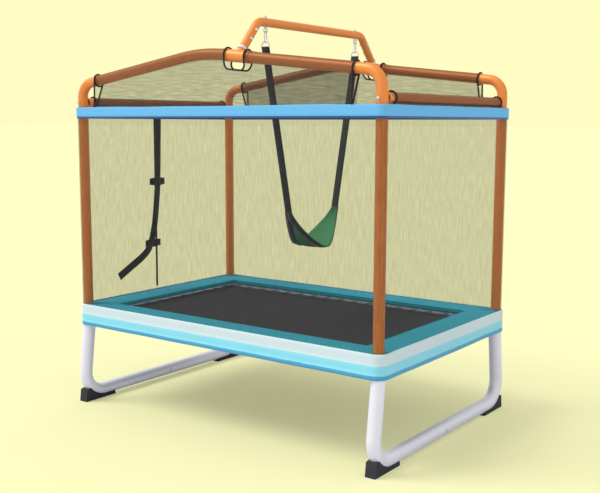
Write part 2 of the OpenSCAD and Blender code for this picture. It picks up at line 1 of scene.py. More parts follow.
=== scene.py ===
"""The looks of a rectangular trampoline with a net, a raised beam and a sling swing.

Each sub-assembly is a class with its sizes as fields, in metres. It dresses the CAD nodes whose shape is
right, and makes the cloth, net, webbing, springs and cords that stand for the plain ones.
"""

import logging
from dataclasses import dataclass, field
from enum import Enum
from math import atan, atan2, cos, hypot, pi, radians, sin, sqrt, tan
from typing import Callable, Iterable, Sequence

import bmesh
import bpy
from mathutils import Matrix, Vector, geometry, noise


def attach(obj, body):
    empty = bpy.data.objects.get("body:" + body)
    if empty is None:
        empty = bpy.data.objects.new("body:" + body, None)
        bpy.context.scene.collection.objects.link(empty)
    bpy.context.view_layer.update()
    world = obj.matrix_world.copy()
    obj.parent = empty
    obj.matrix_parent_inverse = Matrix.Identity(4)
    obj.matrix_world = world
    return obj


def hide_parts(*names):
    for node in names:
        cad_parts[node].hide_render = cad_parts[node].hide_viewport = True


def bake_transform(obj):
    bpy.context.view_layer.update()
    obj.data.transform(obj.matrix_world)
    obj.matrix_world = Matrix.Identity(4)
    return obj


logging.basicConfig(level=logging.INFO, format="%(name)s: %(message)s")
LOG = logging.getLogger("trampoline")

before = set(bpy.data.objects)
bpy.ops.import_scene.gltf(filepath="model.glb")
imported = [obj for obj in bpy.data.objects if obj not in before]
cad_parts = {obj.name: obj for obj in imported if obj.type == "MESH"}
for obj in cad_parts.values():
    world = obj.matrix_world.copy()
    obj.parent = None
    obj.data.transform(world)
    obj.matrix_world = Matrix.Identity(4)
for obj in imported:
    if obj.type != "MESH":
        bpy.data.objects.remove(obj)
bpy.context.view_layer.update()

Colour = tuple[float, float, float, float]
Place = Callable[[float, float], Sequence[float]]

WELD = 0.00005
FRONT, BACK = -1, 1
LEFT, RIGHT = -1, 1


# ---------- colours ----------
def paint_chip(red: int, green: int, blue: int) -> Colour:
    """A linear colour from a chip's display values.

    Args:
        red, green, blue: display values from 0 to 255.

    Returns:
        The linear colour with full opacity, as a shader socket takes it.
    """

    def linear(value: int) -> float:
        """One channel of it."""
        part = value / 255
        return part / 12.92 if part <= 0.04045 else ((part + 0.055) / 1.055) ** 2.4

    return linear(red), linear(green), linear(blue), 1.0


# ---------- node trees ----------
class Wiring:
    """Adds nodes to one node tree and links them."""

    def __init__(self, tree: bpy.types.NodeTree) -> None:
        """Works on the given tree."""
        self.tree = tree

    def node(self, kind: str, **settings: object) -> bpy.types.Node:
        """Adds a node.

        Args:
            kind: the node's type name.
            settings: its properties, by name.

        Returns:
            The new node.
        """
        made = self.tree.nodes.new(kind)
        for name, value in settings.items():
            setattr(made, name, value)
        return made

    def feed(self, socket: bpy.types.NodeSocket, value: object) -> None:
        """Links a socket to another, or sets its own value."""
        if isinstance(value, bpy.types.NodeSocket):
            self.tree.links.new(value, socket)
        else:
            socket.default_value = value

    def calc(self, operation: str, *values: object) -> bpy.types.NodeSocket:
        """One step of arithmetic.

        Args:
            operation: the Math node's operation.
            values: numbers or sockets, in order.

        Returns:
            The result's socket.
        """
        made = self.node("ShaderNodeMath", operation=operation)
        for socket, value in zip(made.inputs, values):
            self.feed(socket, value)
        return made.outputs[0]

    def pick(self, factor: object, low: object, high: object) -> bpy.types.NodeSocket:
        """A number between low and high.

        Args:
            factor: 0 for low, 1 for high.
            low, high: numbers or sockets.

        Returns:
            The blended number's socket.
        """
        made = self.node("ShaderNodeMix", data_type="FLOAT")
        for socket, value in zip((made.inputs[0], made.inputs[2], made.inputs[3]), (factor, low, high)):
            self.feed(socket, value)
        return made.outputs[0]

    def tint(self, factor: object, low: object, high: object) -> bpy.types.NodeSocket:
        """A colour between low and high.

        Args:
            factor: 0 for low, 1 for high.
            low, high: colours or sockets.

        Returns:
            The blended colour's socket.
        """
        made = self.node("ShaderNodeMix", data_type="RGBA")
        for socket, value in zip((made.inputs[0], made.inputs[6], made.inputs[7]), (factor, low, high)):
            self.feed(socket, value)
        return made.outputs[2]

    def noise(self, point: object, scale: object, detail: float = 2.0) -> bpy.types.NodeSocket:
        """Soft random variation.

        Args:
            point: the vector socket it is read at.
            scale: cells in a metre.
            detail: octaves.

        Returns:
            The noise's socket, around 0.5.
        """
        made = self.node("ShaderNodeTexNoise")
        self.feed(made.inputs["Vector"], point)
        self.feed(made.inputs["Scale"], scale)
        made.inputs["Detail"].default_value = detail
        return made.outputs["Fac"]

    def stretch(self, point: object, factors: Sequence[float]) -> bpy.types.NodeSocket:
        """A vector scaled along its axes.

        Args:
            point: the vector socket.
            factors: one factor for each axis.

        Returns:
            The scaled vector's socket.
        """
        made = self.node("ShaderNodeVectorMath", operation="MULTIPLY")
        self.feed(made.inputs[0], point)
        made.inputs[1].default_value = tuple(factors)
        return made.outputs[0]

    def split(self, vector: object) -> tuple[bpy.types.NodeSocket, ...]:
        """The three numbers of a vector."""
        made = self.node("ShaderNodeSeparateXYZ")
        self.feed(made.inputs[0], vector)
        return tuple(made.outputs)

    def join(self, x: object, y: object, z: object = 0.0) -> bpy.types.NodeSocket:
        """A vector from three numbers."""
        made = self.node("ShaderNodeCombineXYZ")
        for socket, value in zip(made.inputs, (x, y, z)):
            self.feed(socket, value)
        return made.outputs[0]


class Effect(Enum):
    """The effects that several materials share, each a node group."""

    CLOTH_PLANE = "cloth_plane"
    WEAVE = "weave"
    NET_THREADS = "net_threads"
    GRAIN = "grain"
    EDGE_WEAR = "edge_wear"
    STITCHES = "stitches"


VECTOR, NUMBER = "NodeSocketVector", "NodeSocketFloat"


def open_group(effect: Effect, inputs: dict[str, object], outputs: dict[str, str]) -> tuple:
    """Starts a node group.

    Args:
        effect: the effect that it makes.
        inputs: each input's name and its default number, or None for a vector.
        outputs: each output's name and its socket type.

    Returns:
        The group's wiring, its input node's sockets and its output node's sockets.
    """
    tree = bpy.data.node_groups.new(effect.value, "ShaderNodeTree")
    for name, default in inputs.items():
        kind = VECTOR if default is None else NUMBER
        socket = tree.interface.new_socket(name=name, in_out="INPUT", socket_type=kind)
        if default is not None:
            socket.default_value = default
    for name, kind in outputs.items():
        tree.interface.new_socket(name=name, in_out="OUTPUT", socket_type=kind)
    wiring = Wiring(tree)
    return wiring, wiring.node("NodeGroupInput").outputs, wiring.node("NodeGroupOutput").inputs


def make_cloth_plane() -> bpy.types.NodeTree:
    """Flat cloth coordinates in metres from the object's own axes, chosen by which way the surface faces."""
    wiring, _, out = open_group(Effect.CLOTH_PLANE, {}, {"Plane": VECTOR})
    where = wiring.node("ShaderNodeTexCoord")
    x, y, z = wiring.split(where.outputs["Object"])
    facing = wiring.split(where.outputs["Normal"])
    across, along, up = (wiring.calc("ABSOLUTE", part) for part in facing)
    sideways = wiring.calc("GREATER_THAN", across, along)
    level = wiring.calc("GREATER_THAN", up, 0.75)
    first = wiring.pick(level, wiring.pick(sideways, x, y), x)
    wiring.feed(out["Plane"], wiring.join(first, wiring.pick(level, z, y)))
    return wiring.tree


def make_weave() -> bpy.types.NodeTree:
    """Threads that cross over and under, with a slow change of tension."""
    wiring, given, out = open_group(
        Effect.WEAVE, {"Plane": None, "Pitch": 0.002}, {"Height": NUMBER, "Shade": NUMBER})
    u, v, _ = wiring.split(given["Plane"])
    waves = [wiring.calc("SINE", wiring.calc("MULTIPLY", wiring.calc("DIVIDE", part, given["Pitch"]), pi))
             for part in (u, v)]
    crossing = wiring.calc("MULTIPLY", *waves)
    wiring.feed(out["Height"], wiring.calc("MULTIPLY_ADD", crossing, 0.5, 0.5))
    wiring.feed(out["Shade"], wiring.noise(given["Plane"], 9.0, 4.0))
    return wiring.tree


def make_net_threads() -> bpy.types.NodeTree:
    """Fine knitted mesh: diamond holes between threads, and streaks where the knit is pulled closer."""
    wiring, given, out = open_group(
        Effect.NET_THREADS,
        {"Plane": None, "Pitch": 0.004, "Cover": 0.3, "Streaks": 0.2, "Lean": 0.0},
        {"Alpha": NUMBER, "Height": NUMBER},
    )
    u, v, _ = wiring.split(given["Plane"])
    rising, falling = wiring.calc("ADD", u, v), wiring.calc("SUBTRACT", u, v)
    ridges = [wiring.calc("ABSOLUTE", wiring.calc("SINE", wiring.calc(
        "MULTIPLY", wiring.calc("DIVIDE", part, given["Pitch"]), pi))) for part in (rising, falling)]
    thread = wiring.calc("SUBTRACT", 1.0, wiring.calc("MINIMUM", *ridges))
    upright = wiring.noise(wiring.stretch(given["Plane"], (150.0, 12.0, 1.0)), 1.0, 3.0)
    level = wiring.noise(wiring.stretch(given["Plane"], (16.0, 150.0, 1.0)), 1.0, 3.0)
    streak = wiring.calc("SUBTRACT", wiring.pick(given["Lean"], upright, level), 0.5)
    fine = wiring.calc("MULTIPLY_ADD", wiring.calc("SUBTRACT", thread, 0.6), 0.35, given["Cover"])
    alpha = wiring.calc("MULTIPLY_ADD", wiring.calc("MULTIPLY", streak, 2.0), given["Streaks"], fine)
    wiring.feed(out["Alpha"], wiring.calc("MINIMUM", wiring.calc("MAXIMUM", alpha, 0.03), 1.0))
    wiring.feed(out["Height"], thread)
    return wiring.tree


def make_grain() -> bpy.types.NodeTree:
    """Fine roughness of a moulded, coated or plated surface, and slow patches of shade."""
    wiring, given, out = open_group(Effect.GRAIN, {"Scale": 900.0}, {"Height": NUMBER, "Patch": NUMBER})
    where = wiring.node("ShaderNodeTexCoord").outputs["Object"]
    wiring.feed(out["Height"], wiring.noise(where, given["Scale"], 3.0))
    wiring.feed(out["Patch"], wiring.noise(where, 6.0, 4.0))
    return wiring.tree


def make_edge_wear() -> bpy.types.NodeTree:
    """A mask that is 1 along worn edges."""
    wiring, given, out = open_group(Effect.EDGE_WEAR, {"Radius": 0.002}, {"Worn": NUMBER})
    bevel = wiring.node("ShaderNodeBevel", samples=4)
    wiring.feed(bevel.inputs["Radius"], given["Radius"])
    flat = wiring.node("ShaderNodeNewGeometry").outputs["Normal"]
    turn = wiring.node("ShaderNodeVectorMath", operation="DOT_PRODUCT")
    wiring.feed(turn.inputs[0], bevel.outputs[0])
    wiring.feed(turn.inputs[1], flat)
    bent = wiring.calc("SUBTRACT", 1.0, turn.outputs["Value"])
    where = wiring.node("ShaderNodeTexCoord").outputs["Object"]
    broken = wiring.calc("MULTIPLY", bent, wiring.calc("MULTIPLY", wiring.noise(where, 160.0, 4.0), 14.0))
    wiring.feed(out["Worn"], wiring.calc("MINIMUM", broken, 1.0))
    return wiring.tree


def make_stitches() -> bpy.types.NodeTree:
    """Two rows of lock stitch, a little in from both long edges of a strip whose UV map is in metres."""
    wiring, given, out = open_group(
        Effect.STITCHES, {"Plane": None, "Width": 0.04, "Inset": 0.004, "Pitch": 0.006}, {"Thread": NUMBER}
    )
    u, v, _ = wiring.split(given["Plane"])
    half = wiring.calc("MULTIPLY", given["Width"], 0.5)
    from_middle = wiring.calc("ABSOLUTE", wiring.calc("SUBTRACT", u, half))
    row = wiring.calc("SUBTRACT", half, given["Inset"])
    off_row = wiring.calc("ABSOLUTE", wiring.calc("SUBTRACT", from_middle, row))
    on_row = wiring.calc("LESS_THAN", off_row, 0.0007)
    dash = wiring.calc("LESS_THAN", wiring.calc("FRACT", wiring.calc("DIVIDE", v, given["Pitch"])), 0.72)
    wiring.feed(out["Thread"], wiring.calc("MULTIPLY", on_row, dash))
    return wiring.tree


MAKERS: dict[Effect, Callable[[], bpy.types.NodeTree]] = {
    Effect.CLOTH_PLANE: make_cloth_plane,
    Effect.WEAVE: make_weave,
    Effect.NET_THREADS: make_net_threads,
    Effect.GRAIN: make_grain,
    Effect.EDGE_WEAR: make_edge_wear,
    Effect.STITCHES: make_stitches,
}


def effect_tree(effect: Effect) -> bpy.types.NodeTree:
    """The effect's node group, built the first time it is asked for."""
    return bpy.data.node_groups.get(effect.value) or MAKERS[effect]()


# ---------- finishes ----------
@dataclass(frozen=True)
class Finish:
    """A surface finish. Its material is built once, by name."""

    name: str
    colour: Colour
    roughness: float
    slot: str

    def material(self) -> bpy.types.Material:
        """The finish's material."""
        found = bpy.data.materials.get(self.name)
        if found:
            return found
        made = bpy.data.materials.new(self.name)
        made.use_nodes = True
        made.diffuse_color = self.colour
        made.node_tree.nodes.clear()
        wiring = Wiring(made.node_tree)
        shader = wiring.node("ShaderNodeBsdfPrincipled")
        out = wiring.node("ShaderNodeOutputMaterial")
        wiring.feed(out.inputs["Surface"], shader.outputs[0])
        shader.inputs["Base Color"].default_value = self.colour
        shader.inputs["Roughness"].default_value = self.roughness
        self.dress(wiring, shader)
        return made

    def dress(self, wiring: Wiring, shader: bpy.types.Node) -> None:
        """Adds the finish's own detail; the plain finish has none."""

    def effect(self, wiring: Wiring, effect: Effect, **values: object) -> bpy.types.Node:
        """Places a shared effect.

        Args:
            wiring: the material's wiring.
            effect: the effect.
            values: its inputs, by name.

        Returns:
            The group node.
        """
        made = wiring.node("ShaderNodeGroup", node_tree=effect_tree(effect))
        for name, value in values.items():
            wiring.feed(made.inputs[name], value)
        return made

    def bump(self, wiring: Wiring, shader: bpy.types.Node, height: object, depth: float) -> None:
        """Raises the surface by height times depth, in metres."""
        made = wiring.node("ShaderNodeBump")
        made.inputs["Distance"].default_value = depth
        made.inputs["Strength"].default_value = 0.6
        wiring.feed(made.inputs["Height"], height)
        wiring.feed(shader.inputs["Normal"], made.outputs[0])

    def shaded(self, factor: float) -> Colour:
        """The finish's colour, made darker or lighter."""
        return tuple(min(part * factor, 1.0) for part in self.colour[:3]) + (1.0,)


@dataclass(frozen=True)
class Hard(Finish):
    """Paint, plating, plastic or rubber: fine grain, slow patches and worn edges."""

    metallic: float = 0.0
    grain_scale: float = 900.0
    grain_depth: float = 0.0002
    patch: float = 0.08
    wear: float = 0.25
    coat: float = 0.0

    def dress(self, wiring: Wiring, shader: bpy.types.Node) -> None:
        """Adds grain, patches and edge wear."""
        grain = self.effect(wiring, Effect.GRAIN, Scale=self.grain_scale)
        worn = self.effect(wiring, Effect.EDGE_WEAR, Radius=0.0015)
        body = wiring.tint(grain.outputs["Patch"], self.shaded(1 - self.patch), self.shaded(1 + self.patch))
        edge = wiring.calc("MULTIPLY", worn.outputs["Worn"], self.wear)
        wiring.feed(shader.inputs["Base Color"], wiring.tint(edge, body, self.shaded(1.7)))
        rough = wiring.pick(grain.outputs["Patch"], self.roughness - 0.06, self.roughness + 0.06)
        wiring.feed(shader.inputs["Roughness"], rough)
        shader.inputs["Metallic"].default_value = self.metallic
        shader.inputs["Coat Weight"].default_value = self.coat
        shader.inputs["Coat Roughness"].default_value = 0.25
        self.bump(wiring, shader, grain.outputs["Height"], self.grain_depth)


@dataclass(frozen=True)
class Cloth(Finish):
    """Woven or coated cloth in the object's own axes."""

    pitch: float = 0.002
    depth: float = 0.0004
    sheen: float = 0.25
    patch: float = 0.1

    def dress(self, wiring: Wiring, shader: bpy.types.Node) -> None:
        """Adds the weave, its slow change of tone, painted shade in the hollows between its threads, and a soft sheen.
        """
        plane = self.effect(wiring, Effect.CLOTH_PLANE).outputs["Plane"]
        weave = self.effect(wiring, Effect.WEAVE, Plane=plane, Pitch=self.pitch)
        body = wiring.tint(weave.outputs["Shade"], self.shaded(1 - self.patch), self.shaded(1 + self.patch))
        # Painted shade: the colour darkens where the weave is low, between the threads.
        thread = wiring.calc("MULTIPLY", wiring.calc("SUBTRACT", 1.0, weave.outputs["Height"]), 0.35)
        wiring.feed(shader.inputs["Base Color"], wiring.tint(thread, body, self.shaded(0.45)))
        shader.inputs["Sheen Weight"].default_value = self.sheen
        shader.inputs["Sheen Roughness"].default_value = 0.5
        self.bump(wiring, shader, weave.outputs["Height"], self.depth)


@dataclass(frozen=True)
class Netting(Finish):
    """Knitted mesh that shows what is behind it."""

    cover: float = 0.27
    streaks: float = 0.15
    lean: float = 0.0

    def dress(self, wiring: Wiring, shader: bpy.types.Node) -> None:
        """Adds the holes, the streaks and a little thread relief."""
        plane = self.effect(wiring, Effect.CLOTH_PLANE).outputs["Plane"]
        net = self.effect(wiring, Effect.NET_THREADS, Plane=plane, Pitch=0.0036, Cover=self.cover,
                          Streaks=self.streaks, Lean=self.lean)
        wiring.feed(shader.inputs["Alpha"], net.outputs["Alpha"])
        self.bump(wiring, shader, net.outputs["Height"], 0.0003)


@dataclass(frozen=True)
class Webbing(Finish):
    """A woven strip whose UV map runs across and along it in metres."""

    width: float = 0.04
    ribs: float = 0.0022
    thread: Colour = (0.05, 0.05, 0.055, 1.0)

    def dress(self, wiring: Wiring, shader: bpy.types.Node) -> None:
        """Adds cross ribs with painted shade in their hollows and painted light on their tops, the weave and two rows
        of stitches.
        """
        plane = wiring.node("ShaderNodeUVMap", uv_map="UVMap").outputs[0]
        weave = self.effect(wiring, Effect.WEAVE, Plane=plane, Pitch=self.ribs)
        seam = self.effect(wiring, Effect.STITCHES, Plane=plane, Width=self.width)
        # Painted light and shade: darker where the ribs are low, lighter where they are raised.
        body = wiring.tint(weave.outputs["Height"], self.shaded(0.6), self.shaded(1.25))
        sewn = wiring.tint(seam.outputs["Thread"], body, self.thread)
        wiring.feed(shader.inputs["Base Color"], sewn)
        shader.inputs["Sheen Weight"].default_value = 0.3
        raised = wiring.calc("ADD", weave.outputs["Height"], seam.outputs["Thread"])
        self.bump(wiring, shader, raised, 0.0005)


@dataclass(frozen=True)
class FloorPaint(Finish):
    """A matt floor with light shadows, which throws no colour on what stands on it."""

    glow: Colour = (1.0, 1.0, 1.0, 1.0)
    lift: float = 0.0

    def dress(self, wiring: Wiring, shader: bpy.types.Node) -> None:
        """Adds the glow for the camera and a neutral tone for every other ray."""
        shader.inputs["Specular IOR Level"].default_value = 0.0
        seen = wiring.node("ShaderNodeLightPath").outputs["Is Camera Ray"]
        wiring.feed(shader.inputs["Base Color"], wiring.tint(seen, (0.72, 0.72, 0.72, 1.0), self.colour))
        glow = wiring.node("ShaderNodeEmission")
        glow.inputs["Color"].default_value = self.glow
        both = wiring.node("ShaderNodeMixShader")
        wiring.feed(both.inputs[0], wiring.calc("MULTIPLY", seen, self.lift))
        wiring.feed(both.inputs[1], shader.outputs[0])
        wiring.feed(both.inputs[2], glow.outputs[0])
        out = next(node for node in wiring.tree.nodes if node.type == "OUTPUT_MATERIAL")
        wiring.feed(out.inputs["Surface"], both.outputs[0])


LEG_PAINT = Hard("leg_paint", paint_chip(243, 243, 241), 0.34, "leg_paint", grain_scale=500.0, patch=0.02,
                 coat=0.3)
ORANGE_PAINT = Hard("orange_paint", paint_chip(255, 104, 22), 0.36, "orange_paint", grain_scale=500.0, patch=0.04,
                    coat=0.3)
GALVANISED = Hard("galvanised_steel", paint_chip(186, 190, 196), 0.42, "galvanised_steel", metallic=0.9,
                  grain_scale=120.0, patch=0.15)
ZINC = Hard("zinc_steel", paint_chip(205, 206, 210), 0.28, "zinc_steel", metallic=1.0, grain_scale=400.0)
RUBBER = Hard("foot_rubber", paint_chip(27, 27, 29), 0.62, "foot_rubber", grain_scale=700.0,
              grain_depth=0.0006)
BUSH_PLASTIC = Hard("bush_plastic", paint_chip(238, 236, 232), 0.45, "bush_plastic", patch=0.02)
BUCKLE_PLASTIC = Hard("buckle_plastic", paint_chip(28, 28, 30), 0.4, "buckle_plastic", patch=0.05)
PIPING = Hard("piping", paint_chip(24, 24, 26), 0.6, "piping", grain_scale=600.0, wear=0.1)

MAT_CLOTH = Cloth("mat_cloth", paint_chip(18, 18, 19), 0.75, "mat_cloth", pitch=0.0026, sheen=0.03)
PAD_COVER = Cloth("pad_cover", paint_chip(38, 186, 230), 0.5, "pad_cover", pitch=0.0028, patch=0.06)
SKIRT_WHITE = Cloth("skirt_white", paint_chip(222, 242, 243), 0.6, "skirt_cloth", pitch=0.0016, patch=0.03)
SKIRT_SKY = Cloth("skirt_sky", paint_chip(146, 236, 252), 0.6, "skirt_cloth", pitch=0.0016, patch=0.04)
SKIRT_HEM = Cloth("skirt_hem", paint_chip(64, 174, 214), 0.6, "skirt_cloth", pitch=0.0016, patch=0.06)
BAND_CLOTH = Cloth("band_cloth", paint_chip(94, 162, 238), 0.6, "band_cloth", pitch=0.0016, patch=0.05)
# The band's lower hem in a darker blue, which paints the shade under the band.
BAND_PAINTED_SHADE = Cloth("band_painted_shade", paint_chip(24, 92, 158), 0.6, "band_cloth", pitch=0.0016, patch=0.05)
SEAT_CLOTH = Cloth("seat_cloth", paint_chip(66, 128, 82), 0.7, "seat_cloth", pitch=0.0015, patch=0.12)
NET_DARK = paint_chip(44, 44, 38)
WALL_NET = Netting("wall_net", NET_DARK, 0.8, "net_mesh")
UPPER_NET = Netting("upper_net", NET_DARK, 0.8, "net_mesh", cover=0.34, streaks=0.26, lean=0.85)
SLEEVE_NET = Netting("sleeve_net", NET_DARK, 0.8, "net_mesh", cover=0.44, streaks=0.1)
POST_NET = Netting("post_net", NET_DARK, 0.8, "net_mesh", cover=0.13, streaks=0.06)
BLACK_WEBBING = Webbing("black_webbing", paint_chip(25, 25, 28), 0.7, "black_webbing")
FLAP_WEBBING = Webbing("flap_webbing", paint_chip(25, 25, 28), 0.7, "black_webbing", width=0.044)
HEM_WEBBING = Webbing("hem_webbing", paint_chip(28, 28, 31), 0.75, "mat_cloth", width=0.045)


# ---------- making pieces ----------
def link_piece(name: str, mesh: bpy.types.Mesh, finishes: Sequence[Finish]) -> bpy.types.Object:
    """Puts a mesh in the scene as a piece.

    Args:
        name: the piece's name.
        mesh: its mesh, already in place.
        finishes: its finishes, in the order of its faces' material numbers.

    Returns:
        The new object, at the origin.
    """
    mesh.name = name
    for finish in finishes:
        mesh.materials.append(finish.material())
    made = bpy.data.objects.new(name, mesh)
    bpy.context.scene.collection.objects.link(made)
    return made


def settle(shape: bmesh.types.BMesh, name: str, finishes: Sequence[Finish],
           smooth: bool = True) -> bpy.types.Object:
    """Turns a finished bmesh into a piece.

    Args:
        shape: the bmesh; it is freed.
        name: the piece's name.
        finishes: its finishes.
        smooth: whether its faces are shaded smooth.

    Returns:
        The new object.
    """
    for face in shape.faces:
        face.smooth = smooth
    mesh = bpy.data.meshes.new(name)
    shape.to_mesh(mesh)
    shape.free()
    return link_piece(name, mesh, finishes)


def applied(piece: bpy.types.Object) -> bpy.types.Object:
    """Replaces the piece's mesh by what its modifiers make of it, and takes them off."""
    bpy.context.view_layer.update()
    seen = piece.evaluated_get(bpy.context.evaluated_depsgraph_get())
    mesh = bpy.data.meshes.new_from_object(seen)
    piece.modifiers.clear()
    piece.data = mesh
    return piece


def thicken(piece: bpy.types.Object, thickness: float, offset: float = 0.0) -> bpy.types.Object:
    """Gives a sheet its thickness, in metres; offset -1 puts it behind the sheet's face."""
    wall = piece.modifiers.new("cloth_thickness", "SOLIDIFY")
    wall.thickness = thickness
    wall.offset = offset
    return piece


@dataclass
class ClothCut:
    """A flat grid of cloth, put in place cell by cell.

    name: the piece's name. across and along: how many cells. size: width and length of the cut, in metres.
    place: gives the point for a share of the width and a share of the length. inside: a point behind its face.
    """

    name: str
    across: int
    along: int
    size: tuple[float, float]
    place: Place
    inside: Vector = field(default_factory=lambda: Vector((0, 0, 1)))

    def lay(self) -> bmesh.types.BMesh:
        """The cloth in place, welded where its edges meet, with its UV map in metres."""
        shape = bmesh.new()
        sheet_uv = shape.loops.layers.uv.new("UVMap")
        bmesh.ops.create_grid(shape, x_segments=self.across, y_segments=self.along, size=0.5, calc_uvs=True)
        for face in shape.faces:
            for loop in face.loops:
                flat = loop.vert.co
                loop[sheet_uv].uv = ((flat.x + 0.5) * self.size[0], (flat.y + 0.5) * self.size[1])
        for vert in shape.verts:
            vert.co = Vector(self.place(vert.co.x + 0.5, vert.co.y + 0.5))
        bmesh.ops.remove_doubles(shape, verts=shape.verts[:], dist=WELD)
        shape.normal_update()
        outward = sum((face.calc_center_median() - self.inside).dot(face.normal) * face.calc_area()
                      for face in shape.faces)
        if outward < 0:
            bmesh.ops.reverse_faces(shape, faces=shape.faces[:])
        return shape

    def piece(self, *finishes: Finish, choose: Callable[[Vector], int] | None = None) -> bpy.types.Object:
        """The cloth as a piece.

        Args:
            finishes: its finishes.
            choose: gives the finish's number for a face's middle.

        Returns:
            The new object.
        """
        shape = self.lay()
        if choose:
            for face in shape.faces:
                face.material_index = choose(face.calc_center_median())
        return settle(shape, self.name, finishes)


def joined(name: str, cuts: Iterable[ClothCut], *finishes: Finish,
           choose: Callable[[Vector], int] | None = None) -> bpy.types.Object:
    """Several cuts of cloth sewn into one piece.

    Args:
        name: the piece's name.
        cuts: the cuts, already shaped so that their edges meet.
        finishes: the piece's finishes.
        choose: gives the finish's number for a face's middle.

    Returns:
        The new object.
    """
    whole = bmesh.new()
    for cut in cuts:
        part = cut.lay()
        spare = bpy.data.meshes.new("cut")
        part.to_mesh(spare)
        part.free()
        whole.from_mesh(spare)
        bpy.data.meshes.remove(spare)
    bmesh.ops.remove_doubles(whole, verts=whole.verts[:], dist=WELD)
    if choose:
        for face in whole.faces:
            face.material_index = choose(face.calc_center_median())
    return settle(whole, name, finishes)


def cord_mesh(paths: Iterable[Sequence[Sequence[float]]], radius: float, closed: bool = False,
              fineness: int = 2) -> bpy.types.Mesh:
    """Round cords or wires along smooth or straight runs of points.

    Args:
        paths: the points of each run, in metres.
        radius: the cord's radius.
        closed: whether each run closes on itself.
        fineness: how round the cord is.

    Returns:
        A mesh of closed tubes.
    """
    curve = bpy.data.curves.new("runs", "CURVE")
    curve.dimensions = "3D"
    curve.bevel_depth = radius
    curve.bevel_resolution = fineness
    curve.use_fill_caps = True
    for points in paths:
        run = curve.splines.new("POLY")
        run.points.add(len(points) - 1)
        for spot, point in zip(run.points, points):
            spot.co = (*point, 1.0)
        run.use_cyclic_u = closed
    holder = bpy.data.objects.new("runs", curve)
    bpy.context.scene.collection.objects.link(holder)
    bpy.context.view_layer.update()
    mesh = bpy.data.meshes.new_from_object(holder.evaluated_get(bpy.context.evaluated_depsgraph_get()))
    bpy.data.objects.remove(holder)
    bpy.data.curves.remove(curve)
    shape = bmesh.new()
    shape.from_mesh(mesh)
    bmesh.ops.remove_doubles(shape, verts=shape.verts[:], dist=WELD / 5)
    bmesh.ops.recalc_face_normals(shape, faces=shape.faces[:])
    for face in shape.faces:
        face.smooth = True
    shape.to_mesh(mesh)
    shape.free()
    return mesh


def add_block(shape: bmesh.types.BMesh, middle: Sequence[float], size: Sequence[float], turn: Matrix | None = None,
              edge: float = 0.0) -> None:
    """Adds a block with eased edges to a bmesh.

    Args:
        shape: the bmesh that gets it.
        middle: the block's middle.
        size: its three sides.
        turn: how it is turned about its middle.
        edge: the width of its eased edges.
    """
    stretch = Matrix.Diagonal((*size, 1.0))
    spot = Matrix.Translation(Vector(middle)) @ (turn.to_4x4() if turn else Matrix.Identity(4)) @ stretch
    made = bmesh.ops.create_cube(shape, size=1.0, matrix=spot)
    if edge:
        edges = list({e for vert in made["verts"] for e in vert.link_edges})
        bmesh.ops.bevel(shape, geom=edges, offset=edge, segments=2, profile=0.5, affect="EDGES", material=-1)


def ripple(x: float, y: float, z: float, size: float) -> float:
    """A smooth repeatable wave between about -1 and 1, with folds of about that size in metres."""
    return noise.noise(Vector((x, y, z)) / size)


def smooth_line(knots: Sequence[Vector], cells: int) -> list[Vector]:
    """A smooth line through knots.

    Args:
        knots: the points that it passes through.
        cells: how many pieces each span between two knots is cut into.

    Returns:
        The points along it.
    """
    ends = [knots[0] * 2 - knots[1], *knots, knots[-1] * 2 - knots[-2]]
    line: list[Vector] = []
    for before, start, end, after in zip(ends, ends[1:], ends[2:], ends[3:]):
        leaving, arriving = start + (end - before) / 6, end - (after - start) / 6
        line += geometry.interpolate_bezier(start, leaving, arriving, end, cells + 1)[:-1]
    return line + [knots[-1]]


def dress(finish: Finish, *nodes: str) -> None:
    """Gives CAD nodes whose shape is right their finish."""
    for name in nodes:
        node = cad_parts[name]
        for spot in node.material_slots:
            spot.material = finish.material()
    LOG.info("dressed %d nodes in %s", len(nodes), finish.name)


def mount(piece: bpy.types.Object, body: str, *nodes: str) -> bpy.types.Object:
    """Lets a piece move with a body and stand for plain nodes.

    Args:
        piece: the finished piece.
        body: the body that it moves with.
        nodes: the CAD nodes that it stands for.

    Returns:
        The piece.
    """
    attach(piece, body)
    if nodes:
        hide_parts(*nodes)
    LOG.info("made %s with %d faces on %s", piece.name, len(piece.data.polygons), body)
    return piece


@dataclass
class RoundedLap:
    """Walks once round a rectangle with round corners, anticlockwise from the right side's front end.

    cells_x, cells_y: cells along each long and short side. cells_corner: cells in each corner.
    """

    cells_x: int
    cells_y: int
    cells_corner: int

    @property
    def cells(self) -> int:
        """All the cells of one lap."""
        return 2 * (self.cells_x + self.cells_y) + 4 * self.cells_corner

    def spot(self, share: float, half_x: float, half_y: float, radius: float) -> tuple[Vector, Vector]:
        """A point of the lap.

        Args:
            share: how far round, from 0 to 1.
            half_x, half_y: half the rectangle's sides.
            radius: the radius of its corners.

        Returns:
            The point and the direction outwards there, both level.
        """
        left = round(share * self.cells) % self.cells
        for side in range(4):
            straight = self.cells_y if side % 2 == 0 else self.cells_x
            reach, run = (half_x, half_y) if side % 2 == 0 else (half_y, half_x)
            outward = Vector((cos(side * pi / 2), sin(side * pi / 2)))
            onward = Vector((-outward.y, outward.x))
            if left <= straight:
                slide = (2 * left / straight - 1) * (run - radius)
                return outward * reach + onward * slide, outward
            left -= straight
            if left <= self.cells_corner:
                turn = left / self.cells_corner * pi / 2
                away = outward * cos(turn) + onward * sin(turn)
                return outward * (reach - radius) + onward * (run - radius) + away * radius, away
            left -= self.cells_corner
        raise ValueError("the share is past the end of the lap")

    def length(self, half_x: float, half_y: float, radius: float) -> float:
        """The real length of one lap."""
        return 4 * (half_x + half_y - 2 * radius) + 2 * pi * radius


